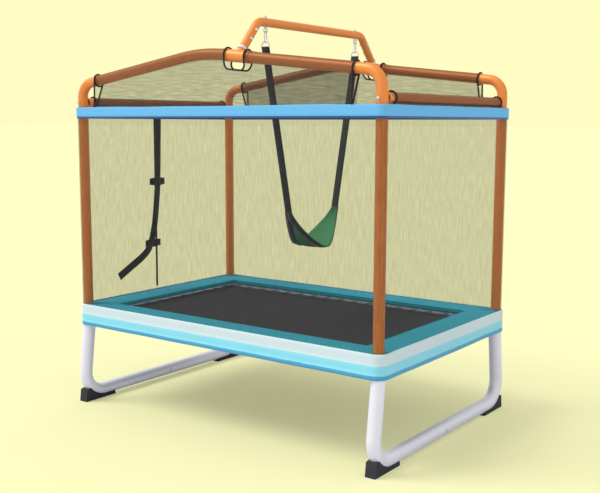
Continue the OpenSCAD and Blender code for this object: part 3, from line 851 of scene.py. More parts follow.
# ---------- the frame under the bed ----------
@dataclass
class Base:
    """The two bent legs, their boots, the bed's rails and corner sockets, and all the bolts."""

    def build(self) -> None:
        """Dresses the base."""
        corners = [f"{side}_{end}" for side in ("left", "right") for end in ("front", "back")]
        dress(LEG_PAINT, *(f"base_leg_{corner}" for corner in corners))
        dress(RUBBER, *(f"foot_{corner}" for corner in corners))
        dress(GALVANISED, "leg_joiners", *(f"frame_rail_{side}" for side in ("front", "back", "left", "right")))
        dress(GALVANISED, *(f"frame_corner_{corner}" for corner in corners))
        dress(ZINC, "frame_bolts")


# ---------- the bed ----------
@dataclass
class Bed:
    """The mat on its springs, and the pad and skirt that cover them."""

    mat_half_x: float = 0.815
    mat_half_y: float = 0.487
    mat_z: float = 0.488
    mat_thick: float = 0.003
    hem: float = 0.045
    spring_pitch: float = 0.095
    springs_long: int = 17
    springs_short: int = 10
    coil_start: float = 0.028
    coil_end: float = 0.062
    coil_r: float = 0.0054
    wire: float = 0.0015
    ring_middle: float = 0.008
    ring_reach: float = 0.011
    pad_top: float = 0.530
    pad_bottom: float = 0.500
    pad_outer: tuple[float, float, float] = (0.9465, 0.6165, 0.051)
    pad_inner: tuple[float, float, float] = (0.785, 0.475, 0.015)
    post_at: tuple[float, float] = (0.908, 0.580)
    post_hole: float = 0.0256
    skirt_half: tuple[float, float, float] = (0.950, 0.620, 0.054)
    skirt_bottom: float = 0.420
    stripe_low: float = 0.481
    hem_top: float = 0.4395

    def build(self) -> None:
        """Makes and dresses the bed."""
        dress(ZINC, "mat_rings")
        self.jump_mat()
        self.mat_hems()
        self.ring_tabs()
        self.springs()
        self.spring_pad()
        self.skirt()

    def jump_mat(self) -> None:
        """The woven mat, tight between its springs, with a very slight dip."""

        def place(u: float, v: float) -> Sequence[float]:
            """A point of the mat."""
            dip = 0.003 * sin(pi * u) * sin(pi * v)
            return (2 * u - 1) * self.mat_half_x, (2 * v - 1) * self.mat_half_y, self.mat_z - dip

        size = (2 * self.mat_half_x, 2 * self.mat_half_y)
        cut = ClothCut("jumping_mat", 64, 40, size, place, Vector((0, 0, -5)))
        mat = mount(thicken(cut.piece(MAT_CLOTH), self.mat_thick), "mat", "jump_mat")

    def mat_hems(self) -> None:
        """The doubled edge of the mat, sewn down with two rows of stitches."""
        cuts = []
        for side in (FRONT, BACK):
            def long_place(u: float, v: float, side: int = side) -> Sequence[float]:
                """A point of a long hem, mitred at its ends."""
                inset = 0.002 + u * self.hem
                x = (2 * v - 1) * (self.mat_half_x - inset)
                return x, side * (self.mat_half_y - inset), self.mat_z + self.mat_thick / 2 + 0.0006

            cuts.append(ClothCut("hem", 2, 60, (self.hem, 2 * self.mat_half_x), long_place, Vector((0, 0, -5))))
        for side in (LEFT, RIGHT):
            def short_place(u: float, v: float, side: int = side) -> Sequence[float]:
                """A point of a short hem, mitred at its ends."""
                inset = 0.002 + u * self.hem
                y = (2 * v - 1) * (self.mat_half_y - inset)
                return side * (self.mat_half_x - inset), y, self.mat_z + self.mat_thick / 2 + 0.0006

            cuts.append(ClothCut("hem", 2, 40, (self.hem, 2 * self.mat_half_y), short_place, Vector((0, 0, -5))))
        mount(thicken(joined("mat_hem", cuts, HEM_WEBBING), 0.001), "mat")

    def spring_frames(self) -> dict[str, list[Matrix]]:
        """Where the springs are, by side, with +X outwards from the mat's edge."""
        spots: dict[str, list[Matrix]] = {}
        for name, side in (("front", FRONT), ("back", BACK)):
            start = -(self.springs_long - 1) / 2 * self.spring_pitch
            spots[name] = [
                Matrix.Translation((start + i * self.spring_pitch, side * self.mat_half_y, self.mat_z))
                @ Matrix.Rotation(side * pi / 2, 4, "Z") for i in range(self.springs_long)]
        for name, side in (("left", LEFT), ("right", RIGHT)):
            start = -(self.springs_short - 1) / 2 * self.spring_pitch
            spots[name] = [
                Matrix.Translation((side * self.mat_half_x, start + i * self.spring_pitch, self.mat_z))
                @ Matrix.Rotation(0 if side > 0 else pi, 4, "Z") for i in range(self.springs_short)]
        return spots

    def ring_tabs(self) -> None:
        """The webbing tabs that hold the rings to the mat, one above and one below at each."""
        shape = bmesh.new()
        for spots in self.spring_frames().values():
            for spot in spots:
                for side in (-1, 1):
                    middle = spot @ Vector((-0.014, 0, side * 0.0034))
                    add_block(shape, middle, (0.034, 0.020, 0.0014), spot.to_3x3(), 0.0004)
        mount(settle(shape, "ring_tabs", [HEM_WEBBING], smooth=False), "mat")

    def spring_path(self) -> list[Vector]:
        """One spring's wire: a hook over the ring, the coil, and a hook into the rail."""
        grip = self.ring_middle + self.ring_reach
        hook = [Vector((grip + 0.0037 * cos(radians(a)), 0, 0.0037 * sin(radians(a))))
                for a in range(-30, -300, -30)]
        hook.append(Vector((self.coil_start - 0.002, 0, 0.003)))
        turns, steps = 9, 10
        coil = []
        for i in range(turns * steps + 1):
            turn = 2 * pi * i / steps
            along = self.coil_start + (self.coil_end - self.coil_start) * i / (turns * steps)
            coil.append(Vector((along, self.coil_r * sin(turn), self.coil_r * cos(turn))))
        end = [Vector((0.066, 0, 0.003)), Vector((0.074, 0, 0.0008)), Vector((0.0785, 0, 0)), Vector((0.0805, 0, -0.003))]
        return hook + coil + end

    def springs(self) -> None:
        """The coil springs, in a piece for each side."""
        path = self.spring_path()
        for name, spots in self.spring_frames().items():
            mesh = cord_mesh([[spot @ point for point in path] for spot in spots], self.wire, fineness=1)
            piece = link_piece(f"springs_{name}", mesh, [ZINC])
            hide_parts("mat_springs")
            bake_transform(piece)
            LOG.info("made %s with %d faces", piece.name, len(mesh.polygons))

    def spring_pad(self) -> None:
        """The foam pad in its cover, crowned across, with a hole for each post."""
        lap = RoundedLap(56, 36, 7)
        middle = (self.pad_top + self.pad_bottom) / 2 - 0.001
        half = (self.pad_top - self.pad_bottom) / 2 - 0.001

        def place(u: float, v: float) -> Sequence[float]:
            """A point of the pad's skin; v goes round its section."""
            turn = 2 * pi * v
            wide, high = cos(turn), sin(turn)
            share = 0.5 + 0.5 * (abs(wide) ** 0.35) * (1 if wide > 0 else -1)
            lift = half * (abs(high) ** 0.45) * (1 if high > 0 else -1)
            half_x, half_y, radius = (inner + (outer - inner) * share
                                      for inner, outer in zip(self.pad_inner, self.pad_outer))
            at, _ = lap.spot(u, half_x, half_y, radius)
            crown = 0.003 * sin(pi * share) if high > 0.1 else 0.0
            fold = 0.0012 * ripple(at.x, at.y, 0, 0.09) * (high > 0.1)
            return at.x, at.y, middle + lift + crown + fold

        cut = ClothCut("spring_pad_cover", lap.cells, 22, (lap.length(*self.pad_outer), 0.4), place,
                       Vector((0, 0, 0.3)))
        shape = cut.lay()
        bmesh.ops.recalc_face_normals(shape, faces=shape.faces[:])
        pad = settle(shape, "spring_pad_cover", [PAD_COVER])
        holes = bmesh.new()
        for x in (-1, 1):
            for y in (-1, 1):
                spot = Matrix.Translation((x * self.post_at[0], y * self.post_at[1], middle))
                bmesh.ops.create_cone(holes, cap_ends=True, segments=32, radius1=self.post_hole,
                                      radius2=self.post_hole, depth=0.2, matrix=spot)
        cutter = settle(holes, "post_holes", [PAD_COVER])
        cut_out = pad.modifiers.new("post_holes", "BOOLEAN")
        cut_out.object = cutter
        cut_out.solver = "EXACT"
        applied(pad)
        bpy.data.objects.remove(cutter)
        mount(pad, "root", "spring_pad")
        rims = [[(x * self.post_at[0] + 0.0275 * cos(t), y * self.post_at[1] + 0.0275 * sin(t), self.pad_top + 0.001)
                 for t in (2 * pi * i / 32 for i in range(32))] for x in (-1, 1) for y in (-1, 1)]
        mount(link_piece("post_hole_binding", cord_mesh(rims, 0.002, closed=True), [PAD_COVER]), "root")
        welt = [(*lap.spot(i / lap.cells, *self.pad_inner)[0], self.pad_top - 0.006) for i in range(lap.cells)]
        mount(link_piece("pad_inner_welt", cord_mesh([welt], 0.002, closed=True), [PAD_COVER]), "root")

    def skirt(self) -> None:
        """The striped skirt with its turned hem, and the welt along its top."""
        lap = RoundedLap(90, 60, 8)
        rows = [(-0.012, 0.5305), (-0.006, 0.5322), (-0.001, 0.5305), (0.0, 0.525), (0.0, 0.512), (0.0004, 0.498),
                (0.0, 0.4815), (0.0006, 0.4805), (0.0012, 0.468), (0.0010, 0.454), (0.0004, 0.4405),
                (0.0018, 0.4395), (0.0022, 0.430), (0.0010, self.skirt_bottom + 0.0005),
                (-0.0030, self.skirt_bottom + 0.0005), (-0.0036, 0.430)]

        def place(u: float, v: float) -> Sequence[float]:
            """A point of the skirt; v goes down it."""
            out, z = rows[round(v * (len(rows) - 1))]
            half_x, half_y, radius = (part + out for part in self.skirt_half)
            at, away = lap.spot(u, half_x, half_y, max(radius, 0.01))
            loose = max(0.0, min(1.0, (0.53 - z) / 0.08))
            shift = away * (0.0022 * loose * ripple(at.x, at.y, z * 1.5, 0.14) - 0.001 * loose)
            drop = 0.0012 * loose * ripple(at.x, at.y, 3.0, 0.2)
            return at.x + shift.x, at.y + shift.y, z + drop

        def stripe(middle: Vector) -> int:
            """White at the top, sky in the middle, and the darker hem."""
            return 0 if middle.z > self.stripe_low else 1 if middle.z > self.hem_top else 2

        size = (lap.length(*self.skirt_half), 0.145)
        cut = ClothCut("bed_skirt", lap.cells, len(rows) - 1, size, place, Vector((0, 0, 0.47)))
        piece = thicken(cut.piece(SKIRT_WHITE, SKIRT_SKY, SKIRT_HEM, choose=stripe), 0.0016, -1.0)
        mount(piece, "root", "pad_skirt")


# ---------- posts, arches and the net ----------
@dataclass
class Enclosure:
    """The posts, arches and end rails, and the net that hangs on them."""

    post_at: tuple[float, float] = (0.908, 0.580)
    net_out: float = 0.030
    net_low: float = 0.5303
    band_low: float = 1.520
    band_high: float = 1.565
    rail_z: float = 1.592
    rail_sleeve: float = 0.512
    rail_wrap: float = 0.0258
    arch_wrap: float = 0.0266
    tee_wrap: float = 0.0296
    post_wrap: float = 0.0268
    crown_from: tuple[float, float] = (-0.200, 1.79118)
    crown_to: tuple[float, float] = (0.06446, 1.79672)
    crown_bend: float = 1.0
    slope_left: float = radians(8.8)
    slope_right: float = radians(6.4)
    tee_x: float = 0.148
    sleeve_end: float = 0.782
    sleeve_gap: float = 0.060
    cut_depth: float = 0.062
    cut_r: float = 0.026
    cut_side: float = 0.028
    cord_r: float = 0.0042
    rail_binding_gap: float = 0.003
    wall_hem: float = 0.004
    upper_hem: float = 0.022

    def arch_z(self, x: float) -> float:
        """Height of the arch tube's middle at x."""
        if x < self.crown_from[0]:
            return self.crown_from[1] + (x - self.crown_from[0]) * tan(self.slope_left)
        if x > self.crown_to[0]:
            return self.crown_to[1] - (x - self.crown_to[0]) * tan(self.slope_right)
        middle_x = self.crown_from[0] + self.crown_bend * sin(self.slope_left)
        middle_z = self.crown_from[1] - self.crown_bend * cos(self.slope_left)
        return middle_z + sqrt(self.crown_bend ** 2 - (x - middle_x) ** 2)

    def build(self) -> None:
        """Makes and dresses the enclosure."""
        corners = [f"{side}_{end}" for side in ("left", "right") for end in ("front", "back")]
        dress(ORANGE_PAINT, *(f"post_{corner}" for corner in corners))
        dress(ORANGE_PAINT, *(f"arch_{end}_{side}" for end in ("front", "back") for side in ("left", "right")))
        dress(ORANGE_PAINT, "tee_front", "tee_back", "end_rail_left", "end_rail_right")
        for name, side in (("front", FRONT), ("back", BACK)):
            self.long_wall(name, side)
            self.upper_net(name, side)
            for x in (LEFT, RIGHT):
                self.post_sleeve(name, x, side)
        for name, side in (("left", LEFT), ("right", RIGHT)):
            self.short_wall(name, side)
            self.rail_cover(name, side)
        self.band()
        self.bindings()
        self.ties()

    def wrap_at(self, x: float) -> float:
        """Radius of the arch sleeve at x; it is wider where it laps over the tee."""
        share = min(1.0, max(0.0, (abs(x - self.tee_x) - 0.078) / 0.03))
        return self.tee_wrap + (self.arch_wrap - self.tee_wrap) * share

    def post_sleeve(self, end: str, x: int, y: int) -> None:
        """The net's tight pocket round a post, from the pad to the band."""
        around, high = 24, self.band_low - self.net_low

        def place(u: float, v: float) -> Sequence[float]:
            """A point of the pocket."""
            turn = atan2(y, x) + radians(2) + radians(356) * round(u * around) / around
            radius = self.post_wrap + 0.0004 * ripple(x, y, v * 14, 0.5)
            return (x * self.post_at[0] + radius * cos(turn), y * self.post_at[1] + radius * sin(turn),
                    self.net_low + high * v)

        size = (2 * pi * self.post_wrap, high)
        middle = Vector((x * self.post_at[0], y * self.post_at[1], 1.0))
        cut = ClothCut(f"post_pocket_{'left' if x < 0 else 'right'}_{end}", around, 30, size, place, middle)
        pocket = mount(cut.piece(POST_NET), "root", f"net_{end}")

    def wall_bow(self, u: float, v: float, x: float, y: float) -> float:
        """How far a wall bows in between its posts, with faint upright folds."""
        hold = sin(pi * u) * sin(pi * v)
        return 0.006 * hold + 0.0016 * min(1.0, 4 * hold) * ripple(x * 8, y * 8, v * 1.2, 0.5)

    def long_wall(self, name: str, side: int) -> None:
        """A long wall of the net, flat between two posts."""
        reach, at_y = self.post_at[0], self.post_at[1] + self.net_out

        def place(u: float, v: float) -> Sequence[float]:
            """A point of the wall."""
            x = (2 * u - 1) * reach
            z = self.net_low + (self.band_high - self.wall_hem - self.net_low) * v
            return x, side * (at_y - self.wall_bow(u, v, x, side)), z

        size = (2 * reach, self.band_high - self.wall_hem - self.net_low)
        cut = ClothCut(f"net_wall_{name}", 113, 26, size, place)
        wall = mount(cut.piece(WALL_NET), "root", f"net_{name}")

    def short_wall(self, name: str, side: int) -> None:
        """A short wall of the net with the round corners at both its ends."""
        reach, at_x = self.post_at[1], self.post_at[0]
        turn_cells, flat_cells = 6, 70
        arc = self.net_out * pi / 2
        cells = 2 * turn_cells + flat_cells

        def place(u: float, v: float) -> Sequence[float]:
            """A point of the wall and its corners."""
            step = round(u * cells)
            z = self.net_low + (self.band_high - self.wall_hem - self.net_low) * v
            if step < turn_cells or step > turn_cells + flat_cells:
                end = -1 if step < turn_cells else 1
                share = step / turn_cells if end < 0 else (cells - step) / turn_cells
                turn = share * pi / 2
                return side * (at_x + self.net_out * sin(turn)), end * (reach + self.net_out * cos(turn)), z
            share = (step - turn_cells) / flat_cells
            y = (2 * share - 1) * reach
            return side * (at_x + self.net_out - self.wall_bow(share, v, side * 3, y)), y, z

        size = (2 * reach + 2 * arc, self.band_high - self.wall_hem - self.net_low)
        cut = ClothCut(f"net_wall_{name}", cells, 26, size, place)
        wall = mount(cut.piece(WALL_NET), "root", f"net_{name}")

    def rail_cover(self, name: str, side: int) -> None:
        """The net's sleeve round an end rail, sewn to the band below it."""
        wraps = 20

        def place(u: float, v: float) -> Sequence[float]:
            """A point of the sleeve; v goes from the band, over the rail and back under it."""
            y = (2 * u - 1) * self.rail_sleeve
            step = round(v * (wraps + 2))
            if step < 2:
                return side * (self.post_at[0] + self.net_out), y, self.band_low + 0.03 + 0.015 * step
            turn = (step - 2) / wraps * radians(330)
            radius = self.rail_wrap + 0.0004 * ripple(y, step * 0.05, side, 0.06)
            return (side * (self.post_at[0] + radius * cos(turn)), y, self.rail_z + radius * sin(turn))

        size = (2 * self.rail_sleeve, 0.042 + self.rail_wrap * radians(330))
        middle = Vector((side * self.post_at[0], 0, self.rail_z))
        cut = ClothCut(f"rail_sleeve_{name}", 60, wraps + 2, size, place, middle)
        cover = mount(cut.piece(SLEEVE_NET), "root", f"net_{name}")

    def top_cuts(self, side: int) -> list[ClothCut]:
        """An upper net's cuts: over the arch on each side of the tee, and two short drops below the tee."""
        low, inner_low = self.band_high - self.upper_hem, 0.0035
        drops, wraps = 9, 8
        rows = 2 * drops + wraps
        start, end = -self.sleeve_end, self.sleeve_end
        gap_low, gap_high = self.tee_x - self.sleeve_gap, self.tee_x + self.sleeve_gap

        def section(x: float, foot_x: float, v: float) -> Sequence[float]:
            """A point of the loop of cloth over the arch at x, whose foot is at foot_x."""
            step = round(v * rows)
            top = self.arch_z(x)
            wrap = self.wrap_at(x)
            if drops <= step <= drops + wraps:
                turn = pi * (1 - (step - drops) / wraps)
                y = self.post_at[1] - wrap * cos(turn)
                return x, side * y, top + wrap * sin(turn)
            outer = step < drops
            height = step / drops if outer else (rows - step) / drops
            far = self.post_at[1] + wrap * height + self.net_out * (1 - height)
            near = self.post_at[1] - wrap * height + (self.net_out - inner_low) * (1 - height)
            wave = 0.002 * sin(pi * height) * ripple(x * 3, height, side, 0.3)
            y = side * ((far if outer else near) + wave)
            return foot_x + (x - foot_x) * height, y, low + (top - low) * height

        def span(x_from: float, x_to: float, foot_from: float, foot_to: float) -> Place:
            """The place function for the cloth between two ends."""
            return lambda u, v: section(x_from + (x_to - x_from) * u, foot_from + (foot_to - foot_from) * u, v)

        def drop(outer: bool) -> Place:
            """The place function for one side's short drop below the tee."""
            def place(u: float, v: float) -> Sequence[float]:
                """A point of the drop; its top is the curved edge of the cut-out."""
                x = gap_low + (gap_high - gap_low) * u
                edge = self.cut_edge(x)
                whole = (edge - low) / (self.arch_z(x) - low)
                height = v * whole
                wrap = self.tee_wrap
                far = self.post_at[1] + wrap * height + self.net_out * (1 - height)
                near = self.post_at[1] - wrap * height + (self.net_out - inner_low) * (1 - height)
                return x, side * (far if outer else near), low + (edge - low) * v
            return place

        height = 0.24
        return [
            ClothCut("left", 60, rows, (gap_low - start, 2 * height), span(start, gap_low, start - 0.02, gap_low)),
            ClothCut("right", 44, rows, (end - gap_high, 2 * height), span(gap_high, end, gap_high, end + 0.02)),
            ClothCut("outer_drop", 20, 7, (gap_high - gap_low, height), drop(True)),
            ClothCut("inner_drop", 20, 7, (gap_high - gap_low, height), drop(False)),
        ]

    def cut_edge(self, x: float) -> float:
        """Height of the cut-out's edge below the tee at x."""
        away = abs(x - self.tee_x) - (self.sleeve_gap - self.cut_r)
        bow = sqrt(max(0.0, 1 - (max(away, 0.0) / self.cut_r) ** 2))
        return self.arch_z(x) - self.cut_side - (self.cut_depth - self.cut_side) * bow

    def upper_net(self, name: str, side: int) -> None:
        """The upper net: a loop of net over the arch whose two sides hang to the band."""

        def over_tube(middle: Vector) -> int:
            """1 where the net lies on the arch tube."""
            return int(middle.z > self.arch_z(middle.x) - 0.02)

        cuts = self.top_cuts(side)
        net = mount(joined(f"upper_net_{name}", cuts, UPPER_NET, SLEEVE_NET, choose=over_tube), "root",
                    f"net_top_{name}")

    def band(self) -> None:
        """The band that joins the upper net to the walls, with its gently waved upper edge and a lower hem painted
        darker as shade.
        """
        lap = RoundedLap(110, 70, 6)
        half = (self.post_at[0] + 0.0335, self.post_at[1] + 0.0335, 0.0335)
        rows = [(-0.0025, -0.0105), (-0.0015, -0.003), (-0.001, 0.0), (0.0006, 0.003), (0.0, 0.012), (0.0, 0.022),
                (0.0, 0.033), (0.0006, 0.042), (-0.001, 0.045)]

        def place(u: float, v: float) -> Sequence[float]:
            """A point of the band."""
            out, rise = rows[round(v * (len(rows) - 1))]
            half_x, half_y, radius = (part + out for part in half)
            at, away = lap.spot(u, half_x, half_y, radius)
            share = max(rise, 0.0) / 0.045
            wave = 0.0032 * ripple(at.x, at.y, 7.0, 0.3) * share
            lean = 0.0012 * ripple(at.x, at.y, 11.0, 0.12)
            return at.x + away.x * lean, at.y + away.y * lean, self.band_low + rise + wave

        def painted_shade_hem(middle: Vector) -> int:
            """1 on the band's lower hem, whose darker blue is painted shade."""
            return int(middle.z < self.band_low - 0.0005)

        size = (lap.length(*half), 0.058)
        cut = ClothCut("net_band_cloth", lap.cells, len(rows) - 1, size, place)
        # The lower hem takes the darker blue, a painted shade.
        piece = thicken(cut.piece(BAND_CLOTH, BAND_PAINTED_SHADE, choose=painted_shade_hem), 0.0024, 1.0)
        band = mount(piece, "root", "net_band")

    def hoop(self, x: float, y: float, z: float, slope: float, radius: float) -> list[Vector]:
        """A ring of piping round a tube that runs along X with the given slope."""
        points = []
        for i in range(28):
            turn = 2 * pi * i / 28
            lift = radius * sin(turn)
            points.append(Vector((x + lift * sin(slope), y + radius * cos(turn), z + lift * cos(slope))))
        return points

    def tee_binding(self, side: int) -> list[Vector]:
        """The closed run of piping round a tee's cut-out: over the tube, down, round below, and back."""
        ring = self.tee_wrap + self.cord_r
        run: list[Vector] = []
        for end, outer_first in ((-1, True), (1, False)):
            x = self.tee_x + end * self.sleeve_gap
            z = self.arch_z(x)
            turns = [pi * i / 14 for i in range(15)]
            for turn in turns if outer_first else reversed(turns):
                y = self.post_at[1] + ring * cos(turn)
                run.append(Vector((x - end * 0.002, side * y, z + ring * sin(turn))))
            dx_from, dx_to = (-1, 1) if end < 0 else (1, -1)
            inner = end < 0
            for i in range(1, 24):
                share = (dx_from + (dx_to - dx_from) * i / 24)
                span = self.sleeve_gap - 0.0005
                at_x = self.tee_x + span * sin(share * pi / 2)
                edge = self.cut_edge(at_x)
                height = (edge - self.band_high) / (self.arch_z(at_x) - self.band_high)
                near = self.post_at[1] - self.tee_wrap * height + 0.0265 * (1 - height)
                run.append(Vector((at_x, side * (near if inner else self.post_at[1] + self.tee_wrap), edge)))
        return run

    def bindings(self) -> None:
        """All the black piping on the net's sleeves."""
        ring, rail_ring = self.arch_wrap + self.cord_r, self.rail_wrap + self.rail_binding_gap
        turns = [2 * pi * i / 28 for i in range(28)]
        runs = [self.tee_binding(side) for side in (FRONT, BACK)]
        for side in (FRONT, BACK):
            for x, slope in ((-self.sleeve_end, self.slope_left), (self.sleeve_end, -self.slope_right)):
                runs.append(self.hoop(x, side * self.post_at[1], self.arch_z(x), -slope, ring))
        for x in (-self.post_at[0], self.post_at[0]):
            for y in (-self.rail_sleeve, self.rail_sleeve):
                runs.append([Vector((x + rail_ring * cos(t), y, self.rail_z + rail_ring * sin(t))) for t in turns])
        piping = link_piece("sleeve_binding", cord_mesh(runs, self.cord_r, closed=True), [PIPING])
        mount(piping, "root", "net_piping")

    def ties(self) -> None:
        """The two tie cords from each sleeve's corner end down to the band."""
        for x, side_name in ((LEFT, "left"), (RIGHT, "right")):
            for y, end_name in ((FRONT, "front"), (BACK, "back")):
                at, top = x * self.sleeve_end, self.arch_z(x * self.sleeve_end)
                ring = self.arch_wrap + self.cord_r
                runs = {
                    "outer": ((at, y * (self.post_at[1] + ring), top - 0.004), (at, y * 0.6135, 1.566)),
                    "inner": ((at, y * (self.post_at[1] - ring), top - 0.004), (at - x * 0.003, y * 0.6025, 1.566)),
                }
                for layer, (high, low) in runs.items():
                    self.tie(f"tie_{side_name}_{end_name}_{layer}", Vector(high), Vector(low))

    def tie(self, name: str, high: Vector, low: Vector) -> None:
        """One tie cord, drawn tight between its two ends."""
        points = [high.lerp(low, i / 15) for i in range(16)]
        mesh = cord_mesh([points], self.cord_r, fineness=3)
        piece = mount(link_piece(name, mesh, [PIPING]), "root", "corner_ties")


# ---------- the door ----------
@dataclass
class Door:
    """The zip in the left wall, the webbing flap over it, and its two buckles."""

    at_y: float = -0.035
    tape_x: float = -0.9398
    zip_low: float = 0.545
    zip_high: float = 1.517
    tape_width: float = 0.014
    tooth_pitch: float = 0.0045
    flap_x: float = -0.95025
    flap_width: float = 0.044
    flap_knots: tuple[tuple[float, float], ...] = (
        (0.005, 1.517), (-0.007, 1.165), (-0.023, 1.0), (-0.041, 0.89), (-0.076, 0.785), (-0.128, 0.732),
        (-0.215, 0.684), (-0.314, 0.632))
    flap_thick: float = 0.0022

    def build(self) -> None:
        """Makes and dresses the door."""
        dress(ZINC, "zip_slider")
        dress(BUCKLE_PLASTIC, "zip_pull", "buckle_sockets", "buckle_plug_upper", "buckle_plug_lower")
        self.tape()
        self.teeth()
        self.flap()

    def tape(self) -> None:
        """The zip's woven tape."""

        def place(u: float, v: float) -> Sequence[float]:
            """A point of the tape."""
            y = self.at_y + (u - 0.5) * self.tape_width
            return self.tape_x, y, self.zip_low + (self.zip_high - self.zip_low) * v

        size = (self.tape_width, self.zip_high - self.zip_low)
        cut = ClothCut("zip_tape", 4, 80, size, place)
        finish = Webbing("zip_webbing", paint_chip(32, 32, 35), 0.75, "black_webbing", width=self.tape_width,
                         ribs=0.001)
        tape = mount(thicken(cut.piece(finish), 0.0012), "root", "door_zip")

    def teeth(self) -> None:
        """The zip's teeth, left and right in turn."""
        shape = bmesh.new()
        count = int((self.zip_high - self.zip_low - 0.01) / self.tooth_pitch)
        for i in range(count):
            y = self.at_y + (0.0011 if i % 2 else -0.0011)
            tooth = (self.tape_x - 0.0010, y, self.zip_low + 0.006 + i * self.tooth_pitch)
            add_block(shape, tooth, (0.0014, 0.0040, 0.0024))
        mount(settle(shape, "zip_teeth", [BUCKLE_PLASTIC], smooth=False), "root", "door_zip")

    def flap(self) -> None:
        """The webbing flap, whose loose lower end curls forwards."""
        line = smooth_line([Vector((0, y, z)) for y, z in self.flap_knots], 20)
        rows = len(line) - 1

        def place(u: float, v: float) -> Sequence[float]:
            """A point of the flap; v goes down it and out along its loose end."""
            step = round(v * rows)
            onward = (line[min(step + 1, rows)] - line[max(step - 1, 0)]).normalized()
            at = line[step] + Vector((0, -onward.z, onward.y)) * ((u - 0.5) * self.flap_width)
            loose = max(0.0, v - 0.6)
            return self.flap_x + 0.0012 * ripple(0, 0, v, 0.14) - 0.012 * loose, at.y, at.z

        length = sum((b - a).length for a, b in zip(line, line[1:]))
        cut = ClothCut("zip_flap", 4, rows, (self.flap_width, length), place)
        flap = mount(thicken(cut.piece(FLAP_WEBBING), self.flap_thick), "root", "door_flap")


# ---------- the swing ----------
@dataclass
class Swing:
    """The raised beam, its bolts and links, and the sling seat on two straps."""

    at_x: float = 0.148
    bar_y: float = 0.382
    bar_z: float = 1.8377
    bar_r: float = 0.0025
    strap_width: float = 0.040
    strap_thick: float = 0.0026
    seat_r: float = 0.190
    seat_z: float = 1.053
    seat_reach: float = 0.202
    seat_width: float = 0.200
    seat_lean: float = 0.032
    cloth_thick: float = 0.004
    sewn_length: float = 0.075

    def build(self) -> None:
        """Makes and dresses the swing."""
        dress(ORANGE_PAINT, "swing_beam")
        dress(BUSH_PLASTIC, "beam_bushes")
        dress(ZINC, "eye_bolts", "swing_links", "swing_rings")
        for name, side in (("front", FRONT), ("back", BACK)):
            self.strap(name, side)
        self.seat()
        self.seat_edges()

    def strap(self, name: str, side: int) -> None:
        """A strap: sewn back on itself round the ring, then straight down to the seat."""
        fall, inward = self.bar_z - self.seat_z, self.bar_y - self.seat_reach
        length = hypot(fall, inward)
        down = Vector((0, -inward / length, -fall / length))
        out = Vector((0, fall / length, -inward / length))
        wrap = self.bar_r + self.strap_thick / 2 + 0.0002
        wraps = 10
        runs: list[Vector] = [down * (self.sewn_length * (1 - i / 6)) - out * (wrap * (0.62 + 0.38 * i / 6))
                              for i in range(6)]
        for i in range(wraps + 1):
            turn = pi * i / wraps
            runs.append(-out * (wrap * cos(turn)) - down * (wrap * sin(turn)))
        steps = 40
        runs += [down * (length + 0.012) * (i / steps) + out * (wrap * (0.0 if i > 3 else 1 - i / 4))
                 for i in range(1, steps + 1)]
        top = Vector((0, self.bar_y, self.bar_z))

        def place(u: float, v: float) -> Sequence[float]:
            """A point of the strap."""
            at = top + runs[round(v * (len(runs) - 1))]
            return self.at_x + (u - 0.5) * self.strap_width, side * at.y, at.z

        whole = sum((b - a).length for a, b in zip(runs, runs[1:]))
        cut = ClothCut(f"swing_strap_{name}", 3, len(runs) - 1, (self.strap_width, whole), place)
        strap = mount(thicken(cut.piece(BLACK_WEBBING), self.strap_thick), "swing", f"strap_{name}")
        shape = bmesh.new()
        turn = Matrix.Rotation(side * atan(inward / fall), 3, "X")
        middle = top + down * 0.045
        add_block(shape, (self.at_x, side * middle.y, middle.z), (self.strap_width + 0.002, 0.0095, 0.030), turn, 0.0015)
        mount(settle(shape, f"strap_keeper_{name}", [BUCKLE_PLASTIC]), "swing")

    def width_at(self, turn: float) -> float:
        """The seat's width where the sling has turned that far from its front tip."""
        return self.strap_width + (self.seat_width - self.strap_width) * abs(sin(turn)) ** 1.3

    def sling_point(self, turn: float, off: float, lift: float) -> Vector:
        """A point of the sling, off its middle line and lifted inwards."""
        across = self.at_x + off + self.seat_lean * sin(2 * turn)
        y, drop = -(self.seat_reach - lift) * cos(turn), (self.seat_r - lift) * sin(turn)
        return Vector((across, y, self.seat_z - drop))

    def seat(self) -> None:
        """The sling: cloth in a half round whose edges stand up a little, gathered at both tips."""

        def place(u: float, v: float) -> Sequence[float]:
            """A point of the sling."""
            turn = pi * v
            side = 2 * u - 1
            width = self.width_at(turn)
            gather = (1 - sin(turn)) ** 2
            fold = 0.0035 * gather * cos(side * 3 * pi) + 0.002 * ripple(side, v * 4, 0, 0.5)
            return self.sling_point(turn, side * width / 2, 0.010 * side * side * sin(turn) + fold)

        rows, columns = 64, 16
        cut = ClothCut("sling_seat", columns, rows, (self.seat_width, self.seat_r * pi), place,
                       Vector((self.at_x, 0, self.seat_z)))
        seat = mount(thicken(cut.piece(SEAT_CLOTH), self.cloth_thick), "swing", "swing_seat")

    def seat_edges(self) -> None:
        """The webbing sewn under the sling along both its edges, from strap to strap."""
        band = 0.038
        cuts = []
        for side in (-1, 1):
            def place(u: float, v: float, side: int = side) -> Sequence[float]:
                """A point of one edge's webbing."""
                turn = pi * v
                half = self.width_at(turn) / 2
                off = side * (half - band * min(1.0, half / 0.03) * (1 - u) + 0.001)
                share = off / half
                lift = 0.010 * share * share * sin(turn) - 0.0042
                return self.sling_point(turn, off, lift)

            middle = Vector((self.at_x, 0, self.seat_z))
            cuts.append(ClothCut("edge", 2, 64, (band, self.seat_r * pi), place, middle))
        finish = Webbing("edge_webbing", paint_chip(25, 25, 28), 0.7, "black_webbing", width=band)
        edges = mount(thicken(joined("seat_webbing", cuts, finish), 0.0022), "swing")


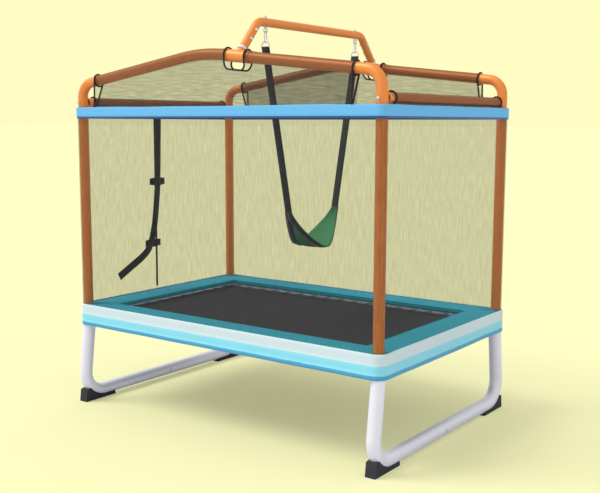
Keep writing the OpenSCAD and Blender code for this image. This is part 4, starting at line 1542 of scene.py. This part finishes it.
# ---------- the room ----------
@dataclass
class Studio:
    """A pale floor, soft light and the camera."""

    eye: tuple[float, float, float] = (2.883, -3.823, 1.490)
    look_round: float = 0.6344
    look_down: float = 0.1332
    roll: float = 0.0027
    lens: float = 55.35
    sensor: float = 36.0
    floor_half: float = 400.0
    backdrop: Colour = (1.0, 0.98, 0.552, 1.0)
    floor_colour: Colour = (0.905, 0.887, 0.50, 1.0)
    sky: float = 0.76
    sun: float = 1.74
    sun_from: tuple[float, float, float] = (-0.65, -0.5, 1.0)
    shadow_depth: float = 0.68

    def build(self) -> None:
        """Makes the room, the light and the camera."""
        scene = bpy.context.scene
        scene.view_settings.view_transform = "Standard"
        lens = bpy.data.cameras.new("camera")
        lens.lens = self.lens
        lens.sensor_width = self.sensor
        lens.clip_end = 1000.0
        camera = bpy.data.objects.new("camera", lens)
        camera.matrix_world = (Matrix.Translation(self.eye) @ Matrix.Rotation(self.look_round, 4, "Z")
                               @ Matrix.Rotation(pi / 2 - self.look_down, 4, "X") @ Matrix.Rotation(self.roll, 4, "Z"))
        scene.collection.objects.link(camera)
        scene.camera = camera
        self.floor()
        self.light(scene)

    def floor(self) -> None:
        """The floor."""
        shape = bmesh.new()
        bmesh.ops.create_grid(shape, x_segments=1, y_segments=1, size=self.floor_half)
        settle(shape, "floor", [FloorPaint("floor_paint", self.floor_colour, 1.0, "floor",
                                                     self.backdrop, 1 - self.shadow_depth)])

    def light(self, scene: bpy.types.Scene) -> None:
        """Even light from all round and a soft sun from above the left front."""
        world = bpy.data.worlds.new("studio")
        scene.world = world
        world.use_nodes = True
        world.node_tree.nodes.clear()
        wiring = Wiring(world.node_tree)
        seen = wiring.node("ShaderNodeBackground")
        seen.inputs[0].default_value = self.backdrop
        around = wiring.node("ShaderNodeBackground")
        around.inputs[0].default_value = (1.0, 1.0, 1.0, 1.0)
        around.inputs[1].default_value = self.sky
        choice = wiring.node("ShaderNodeMixShader")
        wiring.feed(choice.inputs[0], wiring.node("ShaderNodeLightPath").outputs["Is Camera Ray"])
        wiring.feed(choice.inputs[1], around.outputs[0])
        wiring.feed(choice.inputs[2], seen.outputs[0])
        wiring.feed(wiring.node("ShaderNodeOutputWorld").inputs[0], choice.outputs[0])
        sun = bpy.data.lights.new("sun", "SUN")
        sun.energy = self.sun
        sun.angle = radians(28)
        lamp = bpy.data.objects.new("sun", sun)
        lamp.rotation_euler = Vector(self.sun_from).to_track_quat("Z", "Y").to_euler()
        scene.collection.objects.link(lamp)


def main() -> None:
    """Makes every sub-assembly."""
    Studio().build()
    for part in (Base(), Bed(), Enclosure(), Door(), Swing()):
        LOG.info("building the %s", type(part).__name__.lower())
        part.build()


if __name__ == "__main__":
    main()
